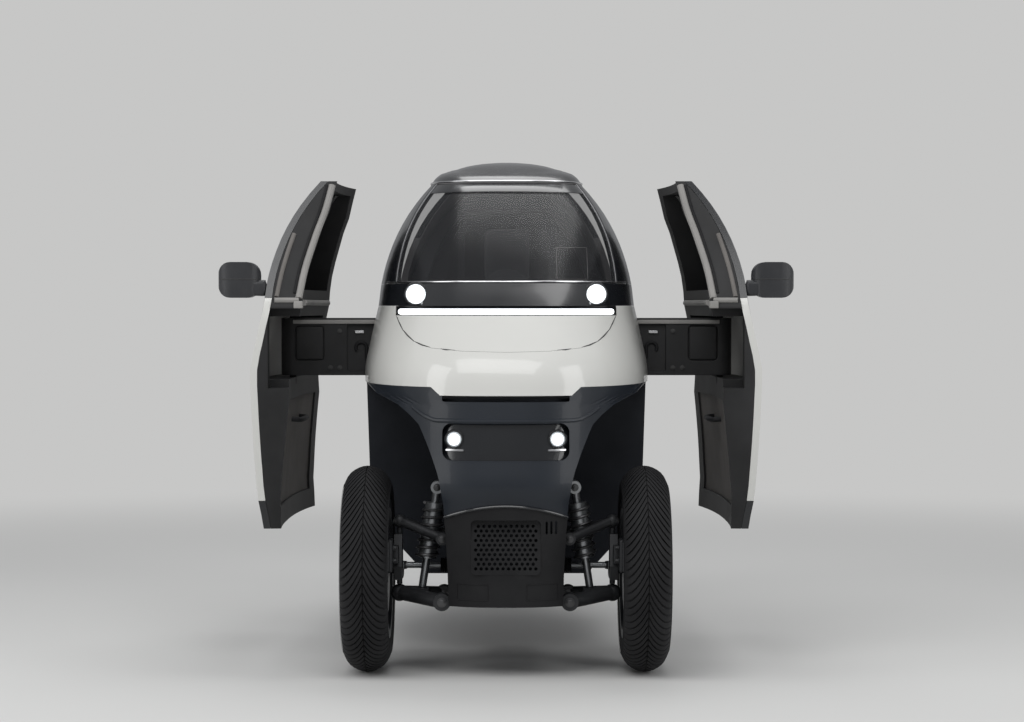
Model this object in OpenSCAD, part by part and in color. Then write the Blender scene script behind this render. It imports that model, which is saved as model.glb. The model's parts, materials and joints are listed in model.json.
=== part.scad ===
// Narrow enclosed car with two steered front wheels, one driven rear wheel and parallel-opening doors.
// Front is -Y, up is +Z, the car's left is +X. Origin: middle of the footprint, on the ground.

/* [Chassis] */
// Distance from the front axle to the rear axle
wheelbase = 1700; // [1680:5:1720]
// Distance between the middles of the front tyres
track = 778; // [760:2:800]
// Diameter of a front tyre
front_tyre_d = 580; // [560:2:600]
// Width of a front tyre
front_tyre_w = 132; // [110:2:144]
// Diameter of the rear tyre
rear_tyre_d = 470; // [450:2:478]
// Width of the rear tyre
rear_tyre_w = 130; // [110:2:136]
// Diameter of a front rim at the bead
front_rim_d = 376; // [350:2:390]
// Diameter of the rear rim at the bead
rear_rim_d = 270; // [250:2:290]
// Underside of the floor above the ground
floor_z = 235; // [220:1:245]
// Thickness of the floor pan
floor_t = 25; // [18:1:30]

/* [Body shell] */
// Thickness of a body panel
wall = 20; // [14:1:24]
// Thickness of a pane of glass
glass_t = 6; // [4:0.5:8]
// Depth of a pane below the outer surface
glass_inset = 6; // [3:0.5:9]
// Gap between two fixed panels
seam = 0.6; // [0.4:0.1:0.9]
// Height of the joint between cowl and lamp band
cowl_top = 1030; // [1024:1:1036]
// Height of the lower edge of the windscreen
screen_base = 1095; // [1085:1:1105]
// Height of the joint between roof and glass
roof_base = 1404; // [1400:1:1410]

/* [Doors] */
// Gap between a door and the body
door_gap = 6; // [5:0.5:8]
// Depth of a door from its outer skin to its inner face
door_depth = 110; // [100:1:118]
// Height of the lower edge of a door
door_base = 390; // [386:1:400]
// Length of the hinge arm between its pins
arm_len = 313; // [300:1:320]
// Height of the hinge arm
arm_h = 172; // [150:1:180]
// Thickness of the hinge arm
arm_t = 70; // [56:1:74]
// Height of the middle of the hinge arm
arm_z = 908; // [900:1:914]
// Radius of a hinge pin
pin_r = 10; // [8:0.5:12]
// Running clearance of a pin, in its radius
fit = 0.05; // [0.02:0.01:0.09]

/* [Hidden] */
$fn = 64;

front_y = -wheelbase / 2;
rear_y = wheelbase / 2;
front_r = front_tyre_d / 2;
rear_r = rear_tyre_d / 2;
half_seam = seam / 2;

// Outer surface of the body. Columns: height, nose ahead of the front axle, tail behind the rear axle, half width.
BODY = [
    [200, 200, 110, 385], [300, 206, 125, 388], [390, 216, 150, 392], [485, 232, 195, 410], [525, 246, 212, 413],
    [606, 230, 245, 420], [708, 212, 268, 427], [787, 196, 282, 431], [834, 190, 290, 433], [880, 170, 288, 427],
    [930, 122, 276, 417], [985, 65, 254, 407], [1030, 20, 228, 398]
];
// The same between windscreen base and roof, with the height as a share, and on the roof, above its base
CANOPY = [
    [0.0162, -75, 180, 390], [0.2492, -165, 118, 372], [0.4984, -270, 40, 342], [0.7508, -385, -65, 297],
    [1, -520, -210, 235]
];
ROOF = [[40, -620, -330, 189], [65, -720, -490, 115]];
roof_h = 81;
crown_y = 30;
function body_row(s, z) = [z, front_y - s[1], rear_y + s[2], s[3]];
// Columns: height, nose y, tail y, half width
SECTIONS = concat(
    [for (s = BODY) body_row(s, s[0])],
    [for (s = CANOPY) body_row(s, mix(screen_base, roof_base, s[0]))],
    [for (s = ROOF) body_row(s, roof_base + s[0])],
    [[roof_base + roof_h, crown_y, crown_y, 0]]
);
NOSE = 1;
TAIL = 2;
HALF = 3;
// Widest station of the plan outline, and how square the outline is before and behind it
mid_y = -100;
square_front = 2.5;
square_rear = 2.2;

// Half width of the front fascia at a height: the concave edge is the wheel arch.
FASCIA = [
    [200, 157], [300, 160], [400, 165], [485, 172], [560, 185], [630, 210], [700, 240], [740, 282],
    [766, 325], [787, 400], [806, 440]
];

function mix(a, b, s) = a + (b - a) * s;
function steps(a, b, n) = [for (i = [0:n]) mix(a, b, i / n)];
function span(z) = max([for (i = [0:len(SECTIONS) - 2]) SECTIONS[i][0] <= z ? i : 0]);

// Smooth value of one column of the section table at a height
function at(z, col) =
    let (i = span(z), n = len(SECTIONS) - 1)
    let (a = SECTIONS[max(i - 1, 0)], b = SECTIONS[i], c = SECTIONS[i + 1], d = SECTIONS[min(i + 2, n)])
    let (s = (z - b[0]) / (c[0] - b[0]), h = c[0] - b[0])
    let (mb = h * (c[col] - a[col]) / (c[0] - a[0]), mc = h * (d[col] - b[col]) / (d[0] - b[0]))
    let (s2 = s * s, s3 = s * s * s)
    b[col] * (2 * s3 - 3 * s2 + 1) + mb * (s3 - 2 * s2 + s) + c[col] * (3 * s2 - 2 * s3) + mc * (s3 - s2);

// Point of the outline at a height: turn 0 is the nose, 90 the left side, 180 the tail
function outline(z, turn, inset) =
    let (hw = at(z, HALF) - inset, c = cos(turn), s = sin(turn))
    let (n = c >= 0 ? square_front : square_rear)
    let (reach = c >= 0 ? mid_y - at(z, NOSE) - inset : at(z, TAIL) - inset - mid_y)
    [hw * sign(s) * pow(abs(s), 2 / n), mid_y - sign(c) * reach * pow(abs(c), 2 / n), z];

// Turn of the outline at which it passes a station y
function turn_at(z, y, inset) =
    y < mid_y
        ? acos(min(1, pow((mid_y - y) / (mid_y - at(z, NOSE) - inset), square_front / 2)))
        : 180 - acos(min(1, pow((y - mid_y) / (at(z, TAIL) - inset - mid_y), square_rear / 2)));

// Half width of the body at a height and a station
function side_x(z, y, inset) =
    let (n = y < mid_y ? square_front : square_rear)
    let (reach = y < mid_y ? mid_y - at(z, NOSE) - inset : at(z, TAIL) - inset - mid_y)
    (at(z, HALF) - inset) * pow(max(0, 1 - pow(abs(y - mid_y) / reach, n)), 1 / n);

// Grids of points: one around the outline between two turns, one along the left side
function wrap_grid(zs, from, to, inset, cols) =
    [for (z = zs) [for (c = [0:cols]) outline(z, mix(from(z, inset), to(z, inset), c / cols), inset)]];
function side_grid(zs, from, to, depth, cols) =
    [for (z = zs) [for (c = [0:cols]) let (y = mix(from(z), to(z), c / cols)) [side_x(z, y, depth(z)), y, z]]];

// Closed slab between an outer and an inner grid of the same size
module slab(outer, inner) {
    rows = len(outer) - 1;
    cols = len(outer[0]) - 1;
    count = (rows + 1) * (cols + 1);
    function o(r, c) = r * (cols + 1) + c;
    function n(r, c) = count + o(r, c);
    function quad(a, b, c, d) = [[a, b, c], [a, c, d]];
    faces = [
        for (r = [0:rows - 1], c = [0:cols - 1], f = quad(o(r, c), o(r + 1, c), o(r + 1, c + 1), o(r, c + 1))) f,
        for (r = [0:rows - 1], c = [0:cols - 1], f = quad(n(r, c), n(r, c + 1), n(r + 1, c + 1), n(r + 1, c))) f,
        for (c = [0:cols - 1], f = quad(o(0, c), o(0, c + 1), n(0, c + 1), n(0, c))) f,
        for (c = [0:cols - 1], f = quad(o(rows, c + 1), o(rows, c), n(rows, c), n(rows, c + 1))) f,
        for (r = [0:rows - 1], f = quad(o(r + 1, 0), o(r, 0), n(r, 0), n(r + 1, 0))) f,
        for (r = [0:rows - 1], f = quad(o(r, cols), o(r + 1, cols), n(r + 1, cols), n(r, cols))) f
    ];
    polyhedron([for (row = outer) each row, for (row = inner) each row], faces);
}

// Panel that wraps around the nose or the tail, and panel on the left side
module wrap_panel(zs, from, to, outside, inside, cols) {
    slab(wrap_grid(zs, from, to, outside, cols), wrap_grid(zs, from, to, inside, cols));
}
module side_panel(zs, from, to, outside, inside, cols) {
    slab(side_grid(zs, from, to, function (z) outside, cols), side_grid(zs, from, to, function (z) inside, cols));
}

// Prisms through a shape drawn in the front view (x, z), the side view (y, z) or the plan (x, y)
module front_prism(points, y0, y1) {
    translate([0, y1, 0]) rotate([90, 0, 0]) linear_extrude(y1 - y0) polygon(points);
}
module side_prism(points, x0, x1) {
    translate([x0, 0, 0]) rotate([90, 0, 90]) linear_extrude(x1 - x0) polygon(points);
}
module box(x0, x1, y0, y1, z0, z1) {
    translate([x0, y0, z0]) cube([x1 - x0, y1 - y0, z1 - z0]);
}
// Round bar between two points
module rod(p, q, r) {
    d = q - p;
    translate(p) rotate([0, acos(d[2] / norm(d)), atan2(d[1], d[0])]) cylinder(h = norm(d), r = r);
}
module cylinder_x(x0, x1, y, z, r) {
    translate([x0, y, z]) rotate([0, 90, 0]) cylinder(h = x1 - x0, r = r);
}
module cylinder_y(x, y0, y1, z, r) {
    translate([x, y1, z]) rotate([90, 0, 0]) cylinder(h = y1 - y0, r = r);
}
module both_sides() {
    children();
    mirror([1, 0, 0]) children();
}
// Rectangle with round corners, and an outline mirrored about the middle line
function round_rect(x0, y0, x1, y1, r) = [
    for (k = [0:3], a = [0:15:90])
        [(k == 0 || k == 3 ? x1 - r : x0 + r) + r * cos(a + 90 * k),
         (k < 2 ? y1 - r : y0 + r) + r * sin(a + 90 * k)]
];
function mirrored(half) = concat(half, [for (i = [len(half) - 1:-1:0]) [-half[i][0], half[i][1]]]);
function grown(points, by) = [for (p = points) [p[0] + sign(p[0]) * by, p[1]]];

// Doors: edges in the side view
door_y0 = front_y + 450;
door_y1 = rear_y - 400;
DOOR_FRONT = [[door_base, door_y0], [cowl_top, door_y0], [roof_base, door_y0 + 220]];
DOOR_REAR = [[door_base, door_y1], [cowl_top, door_y1], [roof_base, door_y1 - 120]];
door_top = roof_base - door_gap;
door_front = function (z) lookup(z, DOOR_FRONT);
door_rear = function (z) lookup(z, DOOR_REAR);
front_edge = function (z, inset) turn_at(z, door_front(z) - door_gap, inset);
rear_edge = function (z, inset) turn_at(z, door_rear(z) + door_gap, inset);
front_edge_right = function (z, inset) -front_edge(z, inset);
rear_edge_right = function (z, inset) 360 - rear_edge(z, inset);

// Front bulkhead, and how far back the fascia and the nose reach
bulkhead_y1 = door_y0 - door_gap;
bulkhead_y0 = bulkhead_y1 - 54;
chin_z = 783;
// Reach of the cuts through the nose: from ahead of it to its back, and to behind the lamps only
cut_y0 = front_y - 450;
cut_y1 = front_y + 350;
lamp_cut_y = front_y - 50;
// Gap that also takes up the facets of two panels with different rows
facet_gap = 1;
shoulder_z = 806;
CHIN = [[181, chin_z], [208, shoulder_z]];

/* Lower body */

TUB_SIDE = [[241, floor_z], [321, 322], [378, door_base - door_gap]];
BULKHEAD_SIDE = concat(TUB_SIDE, [[403, 472], [414, shoulder_z - half_seam]]);
jack_x = 180;
jack_in = 130;
jack_r = 30;
jack_h = 8;

module tub() {
    color("#23272e") {
        difference() {
            front_prism(mirrored(TUB_SIDE), bulkhead_y0, hoop_y0 - half_seam);
            front_prism(
                mirrored([[241 - floor_t / 2, floor_z + floor_t], [321 - floor_t, 322 + floor_t / 2],
                          [378 - floor_t, door_base + 1]]),
                bulkhead_y1, hoop_y0);
        }
        front_prism(mirrored(BULKHEAD_SIDE), bulkhead_y0, bulkhead_y1);
        for (x = [-jack_x, jack_x], y = [bulkhead_y0 + jack_in, door_y1 - jack_in + 10])
            translate([x, y, floor_z - jack_h]) cylinder(h = jack_h + 1, r = jack_r);
    }
}

// Roll hoop behind the doors: closed below the deck, open above it
hoop_y0 = door_y1 + door_gap;
hoop_y1 = hoop_y0 + 40;
hoop_band = 55;
deck_z = 520;
deck_t = 20;
hoop_open_z = deck_z + deck_t + 10;
function hoop_side(z0, z1, inset) =
    [for (z = steps(z0, z1, 14)) [side_x(z, hoop_y1, wall + facet_gap) - inset, z]];

module rear_hoop() {
    color("#1d2024") difference() {
        front_prism(
            mirrored(concat([TUB_SIDE[0], TUB_SIDE[1]], hoop_side(door_base, roof_base - seam, 0))),
            hoop_y0, hoop_y1);
        front_prism(mirrored(hoop_side(hoop_open_z, roof_base - hoop_band, hoop_band)),
            hoop_y0 - 1, hoop_y1 + 1);
    }
}

// Core behind the fascia: the fascia's outline carried back to the bulkhead
core_lap = 4;
module nose_core() {
    reach = bulkhead_y0 - half_seam;
    plan = [for (a = [-90:7.5:90]) let (p = outline(shoulder_z, a, wall + 2 * core_lap)) [p[0], p[1]]];
    color("#17191d") difference() {
        intersection() {
            front_prism(
                mirrored([for (f = FASCIA) if (f[0] < chin_z) [f[1] - core_lap, f[0] + 2 * core_lap]]), cut_y0, reach);
            translate([0, 0, 150]) linear_extrude(700) polygon(plan);
        }
        cylinder_x(-300, 300, link_y, front_r, rod_r + 6);
    }
}

/* Nose */

arch_turn = function (z, inset)
    min(asin(min(1, pow(lookup(z, FASCIA) / at(z, HALF), square_front / 2))),
        turn_at(z, bulkhead_y0 - half_seam, inset));
arch_turn_right = function (z, inset) -arch_turn(z, inset);
nose_base = 202;
grille_top = 485;
grille_corner = 450;
arch_r = (pow(172, 2) + pow(grille_top - grille_corner, 2)) / (2 * (grille_top - grille_corner));
// Front view of the grille panel, below an arched upper edge
function grille_outline(by) = concat(
    [[-260, nose_base - 20], [260, nose_base - 20]],
    [for (x = [260:-20:-260]) [x, grille_top - arch_r + sqrt(arch_r * arch_r - x * x) + by]]
);
recess_w = 175;
recess_z0 = 606;
recess_z1 = 708;
recess_r = 26;
slot_w = 176;
slot_z0 = 766;
mesh_w = 96;
mesh_z0 = 292;
mesh_z1 = 444;
mesh_corner = 14;

module nose_skin(outside, inside, z0, z1, rows) {
    wrap_panel(steps(z0, z1, rows), arch_turn_right, arch_turn, outside, inside, 24);
}
module fascia() {
    color("#262c34") difference() {
        nose_skin(0, wall, grille_corner - 60, shoulder_z - half_seam, 16);
        front_prism(grille_outline(half_seam), cut_y0, cut_y1);
        front_prism(round_rect(-recess_w, recess_z0, recess_w, recess_z1, recess_r), cut_y0, lamp_cut_y);
        front_prism(mirrored([[CHIN[0][0] + seam, chin_z - seam], [CHIN[1][0] + 2 * seam, shoulder_z + 1]]),
            cut_y0, lamp_cut_y);
        front_prism(round_rect(-slot_w, slot_z0, slot_w, chin_z + 4, 6), cut_y0, lamp_cut_y);
    }
}
module grille_panel() {
    color("#0d0e10") difference() {
        intersection() {
            nose_skin(-2, wall, nose_base, grille_top + 4, 10);
            front_prism(grille_outline(-half_seam), cut_y0, cut_y1);
        }
        front_prism(round_rect(-mesh_w, mesh_z0, mesh_w, mesh_z1, mesh_corner), cut_y0, lamp_cut_y);
        for (x = [112, 125, 138])
            front_prism(round_rect(x - 3, 404, x + 3, 440, 2.9), cut_y0, lamp_cut_y);
    }
}
// Flat perforated sheet set in the window of the grille panel
hole_pitch = 15;
hole_r = 4.6;
mesh_t = 4;
mesh_y = front_y - 202;
module grille_mesh() {
    w = mesh_w - half_seam;
    row_h = hole_pitch * sin(60);
    rows = floor((mesh_z1 - mesh_z0 - 2 * hole_pitch) / row_h);
    z0 = (mesh_z0 + mesh_z1 - rows * row_h) / 2;
    color("#08090a") translate([0, mesh_y, 0]) rotate([90, 0, 0]) linear_extrude(mesh_t) difference() {
        polygon(round_rect(-w, mesh_z0 + half_seam, w, mesh_z1 - half_seam, mesh_corner));
        for (r = [0:rows], x = [-82.5:hole_pitch:82.5])
            let (px = x + (r % 2 == 0 ? 0 : hole_pitch / 2))
                if (abs(px) < w - 8) translate([px, z0 + r * row_h]) circle(r = hole_r, $fn = 16);
    }
}
// Tray behind the lower lamps
tray_inset = 14;
lower_lamp_x = 142;
lower_lamp_z = 664;
lower_lamp_r = 22;
module lamp_bar_prism(by) {
    front_prism(round_rect(lower_lamp_x - 26 - by, 632 - by, lower_lamp_x + 24 + by, 637 + by, 2.4),
        cut_y0, lamp_cut_y);
}
module lamp_tray() {
    color("#101215") difference() {
        intersection() {
            nose_skin(tray_inset, tray_inset + wall, recess_z0 - 30, recess_z1 + 30, 6);
            front_prism(round_rect(-recess_w + half_seam, recess_z0 + half_seam, recess_w - half_seam,
                recess_z1 - half_seam, recess_r), cut_y0, lamp_cut_y);
        }
        both_sides() {
            cylinder_y(lower_lamp_x, cut_y0, lamp_cut_y, lower_lamp_z, lower_lamp_r + half_seam);
            lamp_bar_prism(half_seam);
        }
    }
}
module lower_lamps() {
    seat = outline(lower_lamp_z, asin(pow(lower_lamp_x / at(lower_lamp_z, HALF), square_front / 2)), tray_inset);
    color("#e8eef2") both_sides() {
        translate([lower_lamp_x, seat[1] + 18, lower_lamp_z]) rotate([90, 0, 0]) {
            cylinder(h = 28, r = lower_lamp_r);
            translate([0, 0, 28]) scale([1, 1, 0.35]) sphere(r = lower_lamp_r - 4);
        }
        intersection() {
            nose_skin(tray_inset - 5, tray_inset + wall - 2, 620, 650, 2);
            lamp_bar_prism(0);
        }
    }
}

// Cowl: a U-shaped seam parts the nose panel from it
LID = [[0, 902], [120, 905], [208, 913], [258, 930], [294, 963], [314, 999], [318, 1003]];
bar_z0 = 1003;
bar_w = 318;
function lid_outline(by) = concat(
    [for (p = LID) [p[0] + (p[0] > 0 ? by : 0), p[1] - by]],
    [[bar_w + by, cowl_top + 20], [-bar_w - by, cowl_top + 20]],
    [for (i = [len(LID) - 1:-1:1]) [-LID[i][0] - by, LID[i][1] - by]]
);
module cowl_skin(outside, inside) {
    wrap_panel(steps(chin_z, cowl_top - half_seam, 11), front_edge_right, front_edge, outside, inside, 36);
}
module cowl() {
    color("#dededa") difference() {
        cowl_skin(0, wall);
        front_prism(lid_outline(half_seam), cut_y0, cut_y1);
        both_sides() front_prism(
            [[CHIN[0][0], chin_z - 1], [CHIN[1][0], shoulder_z], [700, shoulder_z], [700, chin_z - 1]],
            cut_y0, door_y0);
    }
}
module nose_panel() {
    color("#dededa") intersection() {
        cowl_skin(0, wall);
        front_prism(lid_outline(-half_seam), cut_y0, cut_y1);
        front_prism([[-500, chin_z - 80], [500, chin_z - 80], [500, bar_z0 - half_seam], [-500, bar_z0 - half_seam]],
            cut_y0, cut_y1);
    }
}
// Dark band below the windscreen, with the sill that holds the light bar
bar_lens_w = 311;
bar_lens_z0 = 1006;
bar_lens_z1 = 1022;
bar_seat = 6;
upper_lamp_x = 259;
upper_lamp_z = 1064;
upper_lamp_r = 30;
module lamp_band() {
    color("#121419") {
        difference() {
            wrap_panel(steps(cowl_top + half_seam, screen_base - half_seam, 3),
                front_edge_right, front_edge, 0, wall, 36);
            both_sides() cylinder_y(upper_lamp_x, lamp_cut_y, cut_y1, upper_lamp_z, upper_lamp_r + half_seam);
        }
        intersection() {
            cowl_skin(bar_seat, wall);
            front_prism([[-bar_w + half_seam, bar_z0 + half_seam], [bar_w - half_seam, bar_z0 + half_seam],
                [bar_w - half_seam, cowl_top + 20], [-bar_w + half_seam, cowl_top + 20]], cut_y0, cut_y1);
        }
    }
}
module light_bar() {
    color("#f4f6f8") intersection() {
        cowl_skin(0, bar_seat - half_seam);
        front_prism(round_rect(-bar_lens_w, bar_lens_z0, bar_lens_w, bar_lens_z1, 7.5), cut_y0, cut_y1);
    }
}
module upper_lamps() {
    seat = outline(upper_lamp_z, asin(pow(upper_lamp_x / at(upper_lamp_z, HALF), square_front / 2)), 0);
    color("#e8eef2") both_sides() translate([upper_lamp_x, seat[1] + 46, upper_lamp_z]) rotate([90, 0, 0]) {
        cylinder(h = 52, r = upper_lamp_r);
        translate([0, 0, 52]) scale([1, 1, 0.3]) sphere(r = upper_lamp_r - 3);
    }
}

/* Canopy */

screen_turn = function (z, inset) mix(53, 64, (z - screen_base) / (roof_base - screen_base));
screen_turn_right = function (z, inset) -screen_turn(z, inset);
pillar_start = function (z, inset) screen_turn(z, inset) + 0.08;
function canopy_rows(z0, z1) = steps(z0 + half_seam, z1 - half_seam, 10);

module windscreen() {
    color("#3a4148", 0.5)
        wrap_panel(canopy_rows(screen_base, roof_base), screen_turn_right, screen_turn,
            glass_inset, glass_inset + glass_t, 20);
}
module pillars() {
    color("#0b0c0e") both_sides()
        wrap_panel(canopy_rows(screen_base, roof_base), pillar_start, front_edge, 0, wall, 4);
}
ROOF_ROWS = [1404, 1418, 1432, 1446, 1459, 1470, 1479];
module roof() {
    cols = 48;
    rows = len(ROOF_ROWS) - 1;
    crown = SECTIONS[len(SECTIONS) - 1];
    rise = crown[0] - roof_base;
    zs = [for (z = ROOF_ROWS) z - ROOF_ROWS[0] + roof_base + half_seam];
    function sink(z) = wall * (z - zs[0]) / rise;
    outer = [for (z = zs, c = [0:cols - 1]) outline(z, 360 * c / cols, 0)];
    inner = [for (z = zs, c = [0:cols - 1])
        let (p = outline(z, 360 * c / cols, min(wall, at(z, HALF) / 3))) [p[0], p[1], z - sink(z)]];
    count = len(outer);
    function o(r, c) = r * cols + c % cols;
    function n(r, c) = count + o(r, c);
    function quad(a, b, c, d) = [[a, b, c], [a, c, d]];
    faces = [
        for (r = [0:rows - 1], c = [0:cols - 1], f = quad(o(r, c), o(r + 1, c), o(r + 1, c + 1), o(r, c + 1))) f,
        for (r = [0:rows - 1], c = [0:cols - 1], f = quad(n(r, c), n(r, c + 1), n(r + 1, c + 1), n(r + 1, c))) f,
        for (c = [0:cols - 1], f = quad(o(0, c), o(0, c + 1), n(0, c + 1), n(0, c))) f,
        for (c = [0:cols - 1]) [o(rows, c), 2 * count, o(rows, c + 1)],
        for (c = [0:cols - 1]) [n(rows, c + 1), 2 * count + 1, n(rows, c)]
    ];
    color("#0e0f12") polyhedron(concat(outer, inner,
        [[0, crown[NOSE], crown[0]], [0, crown[NOSE], crown[0] - wall]]), faces);
}

/* Rear body */

// Lower edge of the rear body: rises towards the tail. Columns: turn, height.
TAIL_EDGE = [[100, door_base], [118, door_base], [135, 490], [152, 585], [168, 618], [180, 622]];
function tail_edge(turn) = lookup(turn > 180 ? 360 - turn : turn, TAIL_EDGE);
rear_rows = 14;
rear_cols = 36;
// Grid whose rows spread evenly from the rising lower edge to the waist
function rear_grid(inset) = [
    for (r = [0:rear_rows]) [
        for (c = [0:rear_cols])
            let (s = r / rear_rows, waist = cowl_top - half_seam)
            let (guess = mix(rear_edge(700, inset), rear_edge_right(700, inset), c / rear_cols))
            let (z = mix(tail_edge(guess), waist, s))
            outline(z, mix(rear_edge(z, inset), rear_edge_right(z, inset), c / rear_cols), inset)
    ]
];
tail_lamp = [[292, 900], [340, 880], [352, 700], [318, 690]];
module rear_body() {
    color("#dededa") slab(rear_grid(0), rear_grid(wall));
}
module tail_lamps() {
    color("#8c1a1a") both_sides() intersection() {
        slab(rear_grid(-8), rear_grid(-seam));
        front_prism(tail_lamp, rear_y - 550, rear_y + 450);
    }
}
// Windows of the rear canopy: half of the rear one in the front view, a quarter one in the side view
function pane_z(share) = mix(cowl_top, roof_base, share);
REAR_PANE = [[262, pane_z(0.166)], [262, pane_z(0.214)], [232, pane_z(0.548)], [190, pane_z(0.816)],
    [176, pane_z(0.856)]];
QUARTER_PANE = [[rear_y - 310, pane_z(0.134)], [rear_y - 58, pane_z(0.166)], [rear_y - 110, pane_z(0.374)],
    [rear_y - 200, pane_z(0.642)], [rear_y - 310, pane_z(0.829)], [rear_y - 360, pane_z(0.842)],
    [rear_y - 345, pane_z(0.535)]];
// Reach of the cuts through the tail
tail_y0 = rear_y - 290;
tail_y1 = rear_y + 450;
module rear_canopy_skin(outside, inside) {
    wrap_panel(canopy_rows(cowl_top, roof_base), rear_edge, rear_edge_right, outside, inside, 36);
}
module rear_canopy() {
    color("#0e0f12") difference() {
        rear_canopy_skin(0, wall);
        front_prism(mirrored(REAR_PANE), tail_y0, tail_y1);
        side_prism(QUARTER_PANE, -600, 600);
    }
}
module rear_glass() {
    color("#30363c", 0.6) intersection() {
        rear_canopy_skin(glass_inset, glass_inset + glass_t);
        union() {
            front_prism(mirrored(grown(REAR_PANE, -half_seam)), tail_y0 + 10, tail_y1);
            side_prism(QUARTER_PANE, -600, 600);
        }
    }
}

/* Cabin */

// Posts behind the bulkhead that carry the hinge pins of the arms
pivot_x = 330;
pivot_y = door_y0 + 60;
lug_t = 15;
lug_r = 22;
lug_gap = 6;
arm_z0 = arm_z - arm_h / 2;
arm_z1 = arm_z + arm_h / 2;
post_x0 = pivot_x - 80;
post_x1 = pivot_x - 36;
post_y0 = bulkhead_y1 + half_seam;
post_y1 = pivot_y - arm_t / 2 - lug_gap;
post_z0 = 600;
module hinge_posts() {
    color("#2c2d2f") both_sides() {
        box(post_x0, post_x1, post_y0, post_y1, post_z0, arm_z1 + lug_gap + lug_t);
        for (z = [arm_z0 - lug_gap - lug_t, arm_z1 + lug_gap]) translate([0, 0, z]) {
            translate([pivot_x, pivot_y]) cylinder(h = lug_t, r = lug_r);
            linear_extrude(lug_t) polygon([[post_x0 + 4, post_y0 + 2], [post_x1 - 2, post_y0 + 2],
                [pivot_x + lug_r - 4, pivot_y - 6], [pivot_x - lug_r + 6, pivot_y + 6]]);
        }
        translate([pivot_x, pivot_y, arm_z0 - lug_gap - 1])
            cylinder(h = arm_h + 2 * lug_gap + 2, r = pin_r);
    }
}

// Dashboard: a profile across the car, with a round hood over the instruments
dash_half = post_x0 - half_seam;
dash_base = shoulder_z + half_seam;
hood_r = 76;
hood_z = 1062;
column_tilt = 62;
wheel_hub = [0, bulkhead_y1 + 116, 945];
// Rear face of the dashboard in the side view
DASH_FACE = [[bulkhead_y1, dash_base], [bulkhead_y1 + 14, 880], [bulkhead_y1 + 18, 1010]];
// Top of the dashboard: distance from the bulkhead, height
DASH_TOP = [[-4, 1052], [-64, 1070], [-194, 1050], [-204, 1020], [-154, 950]];
module dashboard() {
    color("#26282b") {
        side_prism(concat([[bulkhead_y0, dash_base]], DASH_FACE, [for (p = DASH_TOP) [bulkhead_y1 + p[0], p[1]]]),
            -dash_half, dash_half);
        cylinder_y(0, bulkhead_y1 - 154, bulkhead_y1 + 2, hood_z, hood_r);
    }
}
shaft_r = 11;
module column_frame() {
    translate(wheel_hub) rotate([-column_tilt, 0, 0]) children();
}
module steering_column() {
    color("#1a1b1d") difference() {
        column_frame() {
            translate([0, 0, -170]) cylinder(h = 145, r = 30);
            translate([0, 0, -26]) cylinder(h = 44, r = shaft_r);
        }
        side_prism(concat([[cut_y1, dash_base]], [for (p = DASH_FACE) [p[0] + half_seam, p[1]]], [[cut_y1, roof_base]]),
            -dash_half, dash_half);
    }
}
rim_r = 165;
grip_r = 14;
module steering_wheel() {
    color("#161719") column_frame() difference() {
        union() {
            rotate_extrude() translate([rim_r, 0]) circle(r = grip_r);
            translate([0, 0, -12]) cylinder(h = 28, r = 46);
            for (a = [0, 180, 270])
                rotate([0, 0, a]) translate([20, -13, -6]) cube([rim_r - 20, 26, 12]);
        }
        translate([0, 0, -40]) cylinder(h = 80, r = shaft_r + fit);
    }
}

// Seats. The driver's back runs up into a headrest between two slots.
seat_half = 205;
battery_h = 66;
cushion_z = floor_z + floor_t + battery_h + 3 * half_seam;
seat_z = 440;
back_y = hoop_y0 - 118;
back_t = 92;
// Half width of the driver's back and headrest. The height is a share from the seat to the roof.
BACK = [[190, 0], [205, 0.083], [205, 0.4357], [190, 0.5602], [165, 0.6639], [158, 0.8817], [140, 0.9025]];
module driver_seat() {
    color("#2b2c2f") difference() {
        union() {
            side_prism([[hoop_y0 - 526, cushion_z], [hoop_y0 - 138, cushion_z], [back_y, seat_z + 60],
                [hoop_y0 - 156, seat_z], [hoop_y0 - 216, seat_z - 15], [hoop_y0 - 496, seat_z + 15],
                [hoop_y0 - 530, seat_z - 10]], -seat_half, seat_half);
            front_prism(mirrored([for (p = BACK) [p[0], mix(seat_z, roof_base, p[1])]]), back_y, back_y + back_t);
        }
        both_sides() front_prism(round_rect(90, mix(seat_z, roof_base, 0.7054), 140, mix(seat_z, roof_base, 0.8672), 20),
            back_y - 38, back_y + back_t + 70);
    }
}
passenger_half = 185;
passenger_z = deck_z + deck_t + half_seam;
// Side view of the passenger's cushion and back: distance behind the hoop, height above the deck
CUSHION = [[10, 0], [294, 0], [294, 72], [44, 90], [10, 70]];
CUSHION_BACK = [[304, 0], [384, 0], [434, 440], [410, 490], [364, 490]];
module passenger_seat() {
    color("#2b2c2f") for (side = [CUSHION, CUSHION_BACK])
        side_prism([for (p = side) [hoop_y1 + p[0], passenger_z + p[1]]], -passenger_half, passenger_half);
}
battery_half = 190;
module battery() {
    color("#4a4d50")
        box(-battery_half, battery_half, hoop_y0 - 496, hoop_y0 - 26, floor_z + floor_t + half_seam,
            floor_z + floor_t + half_seam + battery_h);
}

/* Running gear */

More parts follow.
